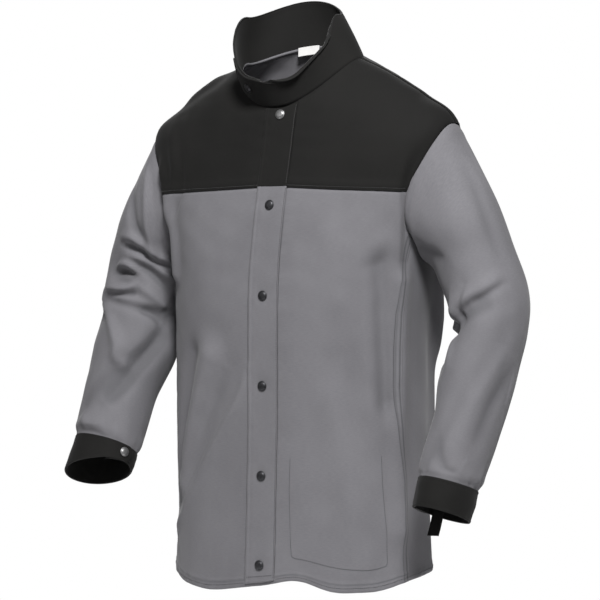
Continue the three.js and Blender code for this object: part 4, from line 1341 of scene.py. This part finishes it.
def collar():
    """The black stand collar, wrapped round the neck with its free end over its start."""
    sweep = 2 * math.pi + COLLAR_UNDERLAP_ANGLE * DEGREE + COLLAR_END
    length = 2 * math.pi * COLLAR_RADIUS * sweep / (2 * math.pi)
    columns = spaced(length, BAND_MARKS, EDGE_MARKS)
    rows = spaced(COLLAR_HEIGHT, BAND_STITCH_MARKS, (*BAND_STITCH_MARKS, 7.5))
    share, part = np.meshgrid(columns, rows)
    travel = share * sweep
    from_end = (1 - share) * length
    from_start = share * length
    corner = corner_drop(np.minimum(from_end, from_start), COLLAR_CORNER) / COLLAR_FRONT_HEIGHT
    rise = SEAM_GAP / COLLAR_FRONT_HEIGHT
    up = rise + (1 - rise - corner) * part
    angle = COLLAR_START - travel
    base = collar_point(angle, up)
    normal = collar_normal(angle, up)
    whole = 2 * math.pi
    lift = smooth(travel, whole - COLLAR_CLIMB_ANGLE * DEGREE, whole) * (DOUBLE_CLOTH + SEAM_GAP)
    from_top = arc_from_end(base, 0)
    from_seam = arc_from_start(base, 0)
    for distance in (from_top, from_end, from_start):
        lift -= 0.9 * (1 - smooth(distance, 0, 1.8)) + 0.4 * hump(distance, EDGE_STITCH, 1.4)
    lift -= 0.8 * (1 - smooth(from_seam, 0, 2.5))
    x = -travel / whole * 2 * math.pi * COLLAR_RADIUS
    lift += 0.9 * ripple(91, x, up * 60, 90) + pucker(93, x, from_top, 4, 8, 0.3)
    points = base + normal * lift[..., None]
    wear_and_shade = 0.5 * hump(from_top, 0, 1.6) + 0.4 * hump(from_end, 0, 1.4)
    flat = np.stack([x, up * 70, np.minimum(wear_and_shade, 1)], -1)
    ob = sheet_object("collar", points, normal, flat)
    thicken(ob, DOUBLE_CLOTH, black, black)
    place(ob, "black_cloth", "collar")
    return ob


# The placket

PLACKET_TOP = -NECK_FRONT_DROP - PLACKET_TOP_GAP
PLACKET_BOTTOM = float(body_point(np.array(-math.pi / 2), np.array(0.0))[2]) + PLACKET_HEM_GAP
front_shares = np.linspace(0, 1, 801)
front_heights = front_z(front_shares)


def placket_place(across, z):
    """The body's angle and height share at a place on the placket: across runs from -1 to 1."""
    up = np.interp(z, front_heights, front_shares)
    x = placket_middle(z) + across * PLACKET_WIDTH / 2
    return angle_at_x(x, up), up


def placket_lift(across, z):
    """The strip's outer face above the body's cloth: full at its free edge, let in at the stitched one."""
    free = (across + 1) * PLACKET_WIDTH / 2
    stitched = (1 - across) * PLACKET_WIDTH / 2
    lift = 2 * SEAM_GAP + PLACKET_THICKNESS + 0 * z
    lift = lift + 1.2 * (1 - smooth(free, 0, 18))
    lift = lift - 1.3 * (1 - smooth(free, 0, 2.4)) - 0.7 * (1 - smooth(stitched, 0, 1.6))
    lift = lift - 0.45 * hump(free, 1.6 * EDGE_STITCH, 1.6)
    lift = lift + pucker(101, z, stitched, 3, 9, 0.4) + pucker(102, z, free, 5, 9, 0.35)
    for k in range(SNAP_COUNT):
        snap_z = -NECK_FRONT_DROP - FIRST_SNAP_DROP - k * SNAP_PITCH
        away = np.hypot(across * PLACKET_WIDTH / 2, z - snap_z)
        lift = lift - 0.5 * hump(away, SNAP_RADIUS + 1, 5)
    return lift


def placket(name, low, high, slot):
    """One length of the placket strip, over the front opening."""
    columns = 2 * spaced(PLACKET_WIDTH, (0.5, 1.3, 2.6, 4, 5.4, 6.8, 8.2), (0.5, 1.3, 2.6, 4)) - 1
    rows = low + (high - low) * spaced(high - low, (0.5, 1.3, 2.6, 4, 6, 8, 9.5, 11), (0.5, 1.3, 2.6))
    across, z = np.meshgrid(columns, rows)
    angle, up = placket_place(across, z)
    lift = placket_lift(across, z)
    lift -= 0.9 * (1 - smooth(z - PLACKET_BOTTOM, 0, 1.8)) + 0.9 * (1 - smooth(PLACKET_TOP - z, 0, 1.8))
    points, normals = body_sheet(angle, up, lift)
    free = (across + 1) * PLACKET_WIDTH / 2
    wear_and_shade = 0.35 * hump(free, 0, 1.5) + 0.2 * hump(z, PLACKET_BOTTOM, 1.5)
    flat = np.stack([across * PLACKET_WIDTH / 2, z, np.minimum(wear_and_shade, 1)], -1)
    ob = sheet_object(name, points, normals, flat)
    thicken(ob, PLACKET_THICKNESS, LOOKS[slot], LOOKS[slot])
    place(ob, slot, name)
    return ob


# Stitching

def surface_tree(*objects):
    """What stitches are laid on: the outer sheets of the given pieces, in millimetres."""
    vertices = []
    faces = []
    for ob in objects:
        start = len(vertices)
        vertices += [Vector(v.co) / MM for v in ob.data.vertices]
        faces += [[start + i for i in p.vertices] for p in ob.data.polygons]
    return BVHTree.FromPolygons(vertices, faces)


def evenly(points, pitch, length):
    """Start and end points of stitches along a line of points."""
    gone = np.concatenate([[0], np.cumsum(np.linalg.norm(np.diff(points, axis=0), axis=1))])
    starts = np.arange(pitch / 2, gone[-1] - length, pitch)
    ends = starts + length
    at = [np.stack([np.interp(place, gone, points[:, k]) for k in range(3)], 1) for place in (starts, ends)]
    return at


def stitch_geometry(line, tree, radius=THREAD_RADIUS, pitch=STITCH_PITCH, length=STITCH_LENGTH):
    """Small arched threads laid along a line on a surface: their points and faces."""
    points = []
    faces = []
    starts, ends = evenly(line, pitch, length)
    for start, end in zip(starts, ends):
        first = tree.find_nearest(Vector(start))
        last = tree.find_nearest(Vector(end))
        if first[0] is None or last[0] is None:
            continue
        a = np.array(first[0])
        b = np.array(last[0])
        normal = np.array(first[1] + last[1])
        normal = normal / max(np.linalg.norm(normal), 1e-9)
        run = b - a
        if np.linalg.norm(run) < 0.5 * length:
            continue
        across = np.cross(run, normal)
        across = across / max(np.linalg.norm(across), 1e-9)
        base = len(points)
        for share, rise, size in STITCH_PROFILE:
            centre = a + run * share + normal * rise
            for k in range(THREAD_SIDES):
                turn = 2 * math.pi * k / THREAD_SIDES
                offset = across * math.cos(turn) + normal * math.sin(turn)
                points.append(centre + offset * radius * size)
        for ring in range(len(STITCH_PROFILE) - 1):
            for k in range(THREAD_SIDES):
                low = base + ring * THREAD_SIDES
                after = (k + 1) % THREAD_SIDES
                faces.append((low + k, low + after, low + THREAD_SIDES + after, low + THREAD_SIDES + k))
        faces.append(tuple(base + k for k in reversed(range(THREAD_SIDES))))
        faces.append(tuple(base + 3 * THREAD_SIDES + k for k in range(THREAD_SIDES)))
    return points, faces


def stitching(name, lines, tree, look, slot):
    points = []
    faces = []
    for line in lines:
        more, more_faces = stitch_geometry(line, tree)
        faces += [tuple(i + len(points) for i in face) for face in more_faces]
        points += more
    ob = mesh_object(name, points, faces)
    ob.data.materials.append(look)
    place(ob, slot)
    return ob


def body_line(angle, up, lift=2.0):
    """Points near the body's cloth along a line of angles and heights."""
    angle = np.asarray(angle, float)
    up = np.broadcast_to(np.asarray(up, float), angle.shape)
    points, _ = body_sheet(angle, up, np.full(angle.shape, lift))
    return points[armhole_reach(angle, up)[0] > 1.03]


def share_of(length):
    return length / (BODY_LENGTH + NECK_SIDE_RISE)


# Snaps and small pieces

def snap(name, seat, normal, look, slot="snap_metal"):
    """A snap's cap: a rolled rim round a shallow dome, on its seat."""
    normal = np.asarray(normal) / np.linalg.norm(normal)
    across = unit(np.cross(normal, [0, 0, 1.0]))
    upward = np.cross(across, normal)
    points = [np.asarray(seat) + normal * SEAM_GAP]
    for radius, height in SNAP_PROFILE:
        for k in range(SNAP_SIDES):
            turn = 2 * math.pi * k / SNAP_SIDES
            arm = across * math.cos(turn) + upward * math.sin(turn)
            points.append(seat + arm * radius * SNAP_RADIUS + normal * (SEAM_GAP + height * SNAP_HEIGHT))
    points.append(seat + normal * (SEAM_GAP + SNAP_HEIGHT))
    top = len(points) - 1
    faces = []
    rings = len(SNAP_PROFILE)
    for k in range(SNAP_SIDES):
        after = (k + 1) % SNAP_SIDES
        faces.append((0, 1 + after, 1 + k))
        for ring in range(rings - 1):
            low = 1 + ring * SNAP_SIDES
            faces.append((low + k, low + after, low + SNAP_SIDES + after, low + SNAP_SIDES + k))
        faces.append((1 + (rings - 1) * SNAP_SIDES + k, 1 + (rings - 1) * SNAP_SIDES + after, top))
    ob = mesh_object(name, points, faces)
    ob.data.materials.append(look)
    place(ob, slot, name)
    return ob


def front_snaps():
    for k in range(SNAP_COUNT):
        z = np.array(-NECK_FRONT_DROP - FIRST_SNAP_DROP - k * SNAP_PITCH)
        angle, up = placket_place(np.array(0.0), z)
        seat, normal = body_sheet(angle, up, 2 * SEAM_GAP + PLACKET_THICKNESS - 0.35)
        # The first snap is made of the lighter nickel as a painted highlight, standing in for the glint it shows,
        # while the rest are gunmetal.
        snap(f"front_snap_{k + 1}", seat, normal, nickel if k == 0 else gunmetal)


def collar_snap():
    angle = np.array(-math.pi / 2 - COLLAR_END * SNAP_PLACE)
    up = np.array(0.5)
    normal = collar_normal(angle, up)
    seat = collar_point(angle, up) + normal * (DOUBLE_CLOTH + SEAM_GAP)
    snap("collar_snap", seat, normal, gunmetal)


def cuff_snap(side):
    turn = np.array((CUFF_END_ANGLES[side] - SNAP_PLACE * CUFF_OVERLAP_ANGLE) * DEGREE)
    along = np.array((SEAM_ALONG + 1) / 2)
    normal = sleeve_normal(side, turn, along)
    seat = sleeve_point(side, turn, along) + normal * (DOUBLE_CLOTH + SEAM_GAP)
    snap("cuff_snap_left" if side > 0 else "cuff_snap_right", seat, normal, nickel)


def neck_label():
    """The bare white label that hangs inside the back of the collar."""
    top_up = LABEL_SEAT / COLLAR_BACK_HEIGHT
    middle = math.pi / 2 + math.asin(COLLAR_SWAY / NECK_HALF_WIDTH)
    spread = LABEL_WIDTH / 2 / NECK_HALF_WIDTH
    columns = spaced(LABEL_WIDTH, (0.4, 1.0), (0.4, 1.0))
    rows = spaced(LABEL_HEIGHT, (0.4, 1.0, 2.0), (0.4, 1.0))
    across, down = np.meshgrid(columns, rows)
    angle = middle + spread * (2 * across - 1)
    up = np.full(angle.shape, top_up)
    normal = collar_normal(angle, up)
    points = collar_point(angle, up) - normal * (DOUBLE_CLOTH + CLOTH + 3 * SEAM_GAP)
    top = points[..., 2]
    points[..., 2] = top - LABEL_HEIGHT * down
    points += -normal * (0.8 * down**2 + 0.25 * np.sin(9 * across))[..., None]
    flat = np.stack([across * LABEL_WIDTH, down * LABEL_HEIGHT, 0 * down], -1)
    ob = sheet_object("neck_label", points, -normal, flat)
    thicken(ob, -LABEL_THICKNESS, white_weave, white_weave)
    place(ob, "label_cloth", "neck_label")
    return ob


def cuff_tab():
    """The short black tab that hangs out of the left cuff."""
    turn = np.array(TAB_ANGLE * DEGREE)
    edge = sleeve_point(1, turn, np.array(1.0))
    seam = sleeve_point(1, turn, np.array((SEAM_ALONG + 1) / 2))
    normal = sleeve_normal(1, turn, np.array(1.0))
    down = unit(edge - seam)
    across = unit(np.cross(down, normal))
    sagitta = TAB_WIDTH**2 / (6 * WRIST_HALF_WIDTH)
    seat = edge - down * TAB_INSIDE * TAB_LENGTH - normal * (DOUBLE_CLOTH + 2 * SEAM_GAP + sagitta)
    columns = spaced(TAB_WIDTH, (0.5, 1.3, 2.6), (0.5, 1.3, 2.6))
    rows = spaced(TAB_LENGTH, (0.5, 1.3), (0.5, 1.3, 2.6))
    s, t = np.meshgrid(columns, rows)
    slant = 0.06 + 0.08 * s
    length = TAB_LENGTH * (1 - slant * smooth(t, 0.6, 1.0))
    bow = 1.6 * np.sin(math.pi * t) - 0.8 * (1 - smooth(np.minimum(s, 1 - s) * TAB_WIDTH, 0, 1.6))
    points = (
        seat
        + across * ((s - 0.5) * TAB_WIDTH)[..., None]
        + down * (t * length)[..., None]
        - normal * bow[..., None]
    )
    flat = np.stack([s * TAB_WIDTH, t * TAB_LENGTH, 0 * s], -1)
    ob = sheet_object("cuff_tab_left", points, np.broadcast_to(normal, points.shape), flat)
    thicken(ob, TAB_THICKNESS, black, black)
    place(ob, "black_cloth", "cuff_tab_left")
    return ob


# The pieces

fronts = {side: front_panel(side) for side in (1, -1)}
back = back_panel()
yokes = {side: front_yoke(side) for side in (1, -1)}
rear_yoke = back_yoke()
for side in (1, -1):
    sleeve(side)
for side in (1, -1):
    cuff(side)
collar()
placket_body = placket("placket_body", PLACKET_BOTTOM, -YOKE_DROP - SEAM_GAP / 2, "grey_cloth")
placket_yoke = placket("placket_yoke", -YOKE_DROP + SEAM_GAP / 2, PLACKET_TOP, "black_cloth")
front_snaps()
collar_snap()
for side in (1, -1):
    cuff_snap(side)
neck_label()
cuff_tab()


def all_stitching():
    grey_tree = surface_tree(fronts[1], fronts[-1], back)
    strip_tree = surface_tree(placket_body)
    black_tree = surface_tree(yokes[1], yokes[-1], rear_yoke)
    top_strip_tree = surface_tree(placket_yoke)
    round_body = np.linspace(-math.pi, math.pi, 900)
    strip = placket_place(np.array(-1.0), np.array(PLACKET_BOTTOM))[0]
    strip_end = placket_place(np.array(1.0), np.array(PLACKET_BOTTOM))[0]
    left_hem = body_line(round_body[round_body > strip_end], share_of(HEM_STITCH))
    right_hem = body_line(round_body[round_body < strip], share_of(HEM_STITCH))
    lines = [left_hem, right_hem]
    ups = np.linspace(0.005, 0.75, 500)
    for side in (1, -1):
        for inset in (EDGE_STITCH, SECOND_STITCH):
            angle = side_edge(side, inset)(ups)
            point = body_point(angle, ups)
            under_yoke = point[..., 2] < -YOKE_DROP - 14
            lines.append(body_line(angle[under_yoke], ups[under_yoke]))
    corner_angles, corner_ups = np.array(POCKET_LINE).T
    shares = np.linspace(0, len(POCKET_LINE) - 1, 300)
    pocket_angle = np.interp(shares, range(len(POCKET_LINE)), corner_angles) * DEGREE
    pocket_up = np.interp(shares, range(len(POCKET_LINE)), corner_ups)
    lines.append(body_line(pocket_angle, pocket_up))
    stitching("body_stitching", lines, grey_tree, grey_thread, "grey_cloth")

    heights = np.linspace(PLACKET_BOTTOM + 3, -YOKE_DROP - 2, 500)
    stitched = 1 - PLACKET_STITCH / PLACKET_WIDTH
    angle, up = placket_place(np.full(500, stitched), heights)
    strip_lines = [body_sheet(angle, up, np.full(500, 4.0))[0]]
    across = np.linspace(-0.94, 0.94, 60)
    angle, up = placket_place(across, np.full(60, PLACKET_BOTTOM + PLACKET_HEM_STITCH))
    strip_lines.append(body_sheet(angle, up, np.full(60, 4.0))[0])
    stitching("placket_stitching", strip_lines, strip_tree, grey_thread, "grey_cloth")

    yoke_lines = []
    front_angles = np.linspace(-math.pi, 0, 500)
    back_angles = np.linspace(0, math.pi, 500)
    yoke_lines.append(body_line(front_angles, seam_up(front_yoke_ups, EDGE_STITCH)(front_angles)))
    yoke_lines.append(body_line(back_angles, seam_up(back_yoke_ups, EDGE_STITCH)(back_angles)))
    stitching("yoke_stitching", yoke_lines, black_tree, black_thread, "black_cloth")

    top_heights = np.linspace(-YOKE_DROP + 3, PLACKET_TOP - 2, 200)
    angle, up = placket_place(np.full(200, stitched), top_heights)
    top_lines = [body_sheet(angle, up, np.full(200, 4.0))[0]]
    stitching("placket_top_stitching", top_lines, top_strip_tree, black_thread, "black_cloth")


all_stitching()


# Stage, light and camera

def pale_floor():
    """A round pale floor below the jacket."""
    turns = np.arange(FLOOR_SIDES) / FLOOR_SIDES * 2 * math.pi
    ring = np.stack([FLOOR_RADIUS * np.cos(turns), FLOOR_RADIUS * np.sin(turns), 0 * turns + FLOOR_Z], 1)
    ob = mesh_object("pale_floor", ring / MM, [range(FLOOR_SIDES)])
    made, tree, shader = material("pale_floor")
    grain = noise(tree, object_place(tree), 3)
    tree.links.new(blended(tree, grain, (0.84, 0.84, 0.84), (0.88, 0.88, 0.88)), shader.inputs["Base Color"])
    shader.inputs["Roughness"].default_value = 0.9
    ob.data.materials.append(made)


def aimed(name, data, azimuth, elevation, distance):
    """An object made of the data that looks at the camera's target from a distance."""
    ob = bpy.data.objects.new(name, data)
    target = Vector(CAMERA_TARGET)
    turn = azimuth * DEGREE
    lift = elevation * DEGREE
    way = Vector((math.sin(turn) * math.cos(lift), -math.cos(turn) * math.cos(lift), math.sin(lift)))
    ob.location = target + way * distance
    ob.rotation_euler = (target - ob.location).to_track_quat("-Z", "Y").to_euler()
    bpy.context.scene.collection.objects.link(ob)
    return ob


def area_light(name, azimuth, elevation, distance, size, power):
    data = bpy.data.lights.new(name, "AREA")
    data.shape = "DISK"
    data.size = size
    data.energy = power
    aimed(name, data, CAMERA_AZIMUTH + azimuth, elevation, distance)


def camera():
    data = bpy.data.cameras.new("camera")
    data.sensor_width = SENSOR
    data.lens = CAMERA_FOCAL_PIXELS / FRAME_PIXELS * SENSOR
    data.shift_x = (FRAME_PIXELS / 2 - TARGET_PIXEL_X) / FRAME_PIXELS
    bpy.context.scene.camera = aimed("camera", data, CAMERA_AZIMUTH, CAMERA_PITCH, CAMERA_DISTANCE)


def studio():
    """A white world, dimmer as a light than as the camera sees it, and three soft lights."""
    world = bpy.data.worlds.new("studio")
    world.use_nodes = True
    tree = world.node_tree
    backdrop = tree.nodes["Background"]
    glow = tree.nodes.new("ShaderNodeBackground")
    glow.inputs["Color"].default_value = (1, 1, 1, 1)
    glow.inputs["Strength"].default_value = WORLD_LIGHT
    backdrop.inputs["Color"].default_value = (1, 1, 1, 1)
    seen = tree.nodes.new("ShaderNodeLightPath")
    mixed_light = tree.nodes.new("ShaderNodeMixShader")
    tree.links.new(seen.outputs["Is Camera Ray"], mixed_light.inputs["Fac"])
    tree.links.new(glow.outputs[0], mixed_light.inputs[1])
    tree.links.new(backdrop.outputs[0], mixed_light.inputs[2])
    tree.links.new(mixed_light.outputs[0], tree.nodes["World Output"].inputs["Surface"])
    bpy.context.scene.world = world
    for row in LIGHTS:
        area_light(*row)
    bpy.context.scene.view_settings.view_transform = "Standard"


pale_floor()
camera()
studio()
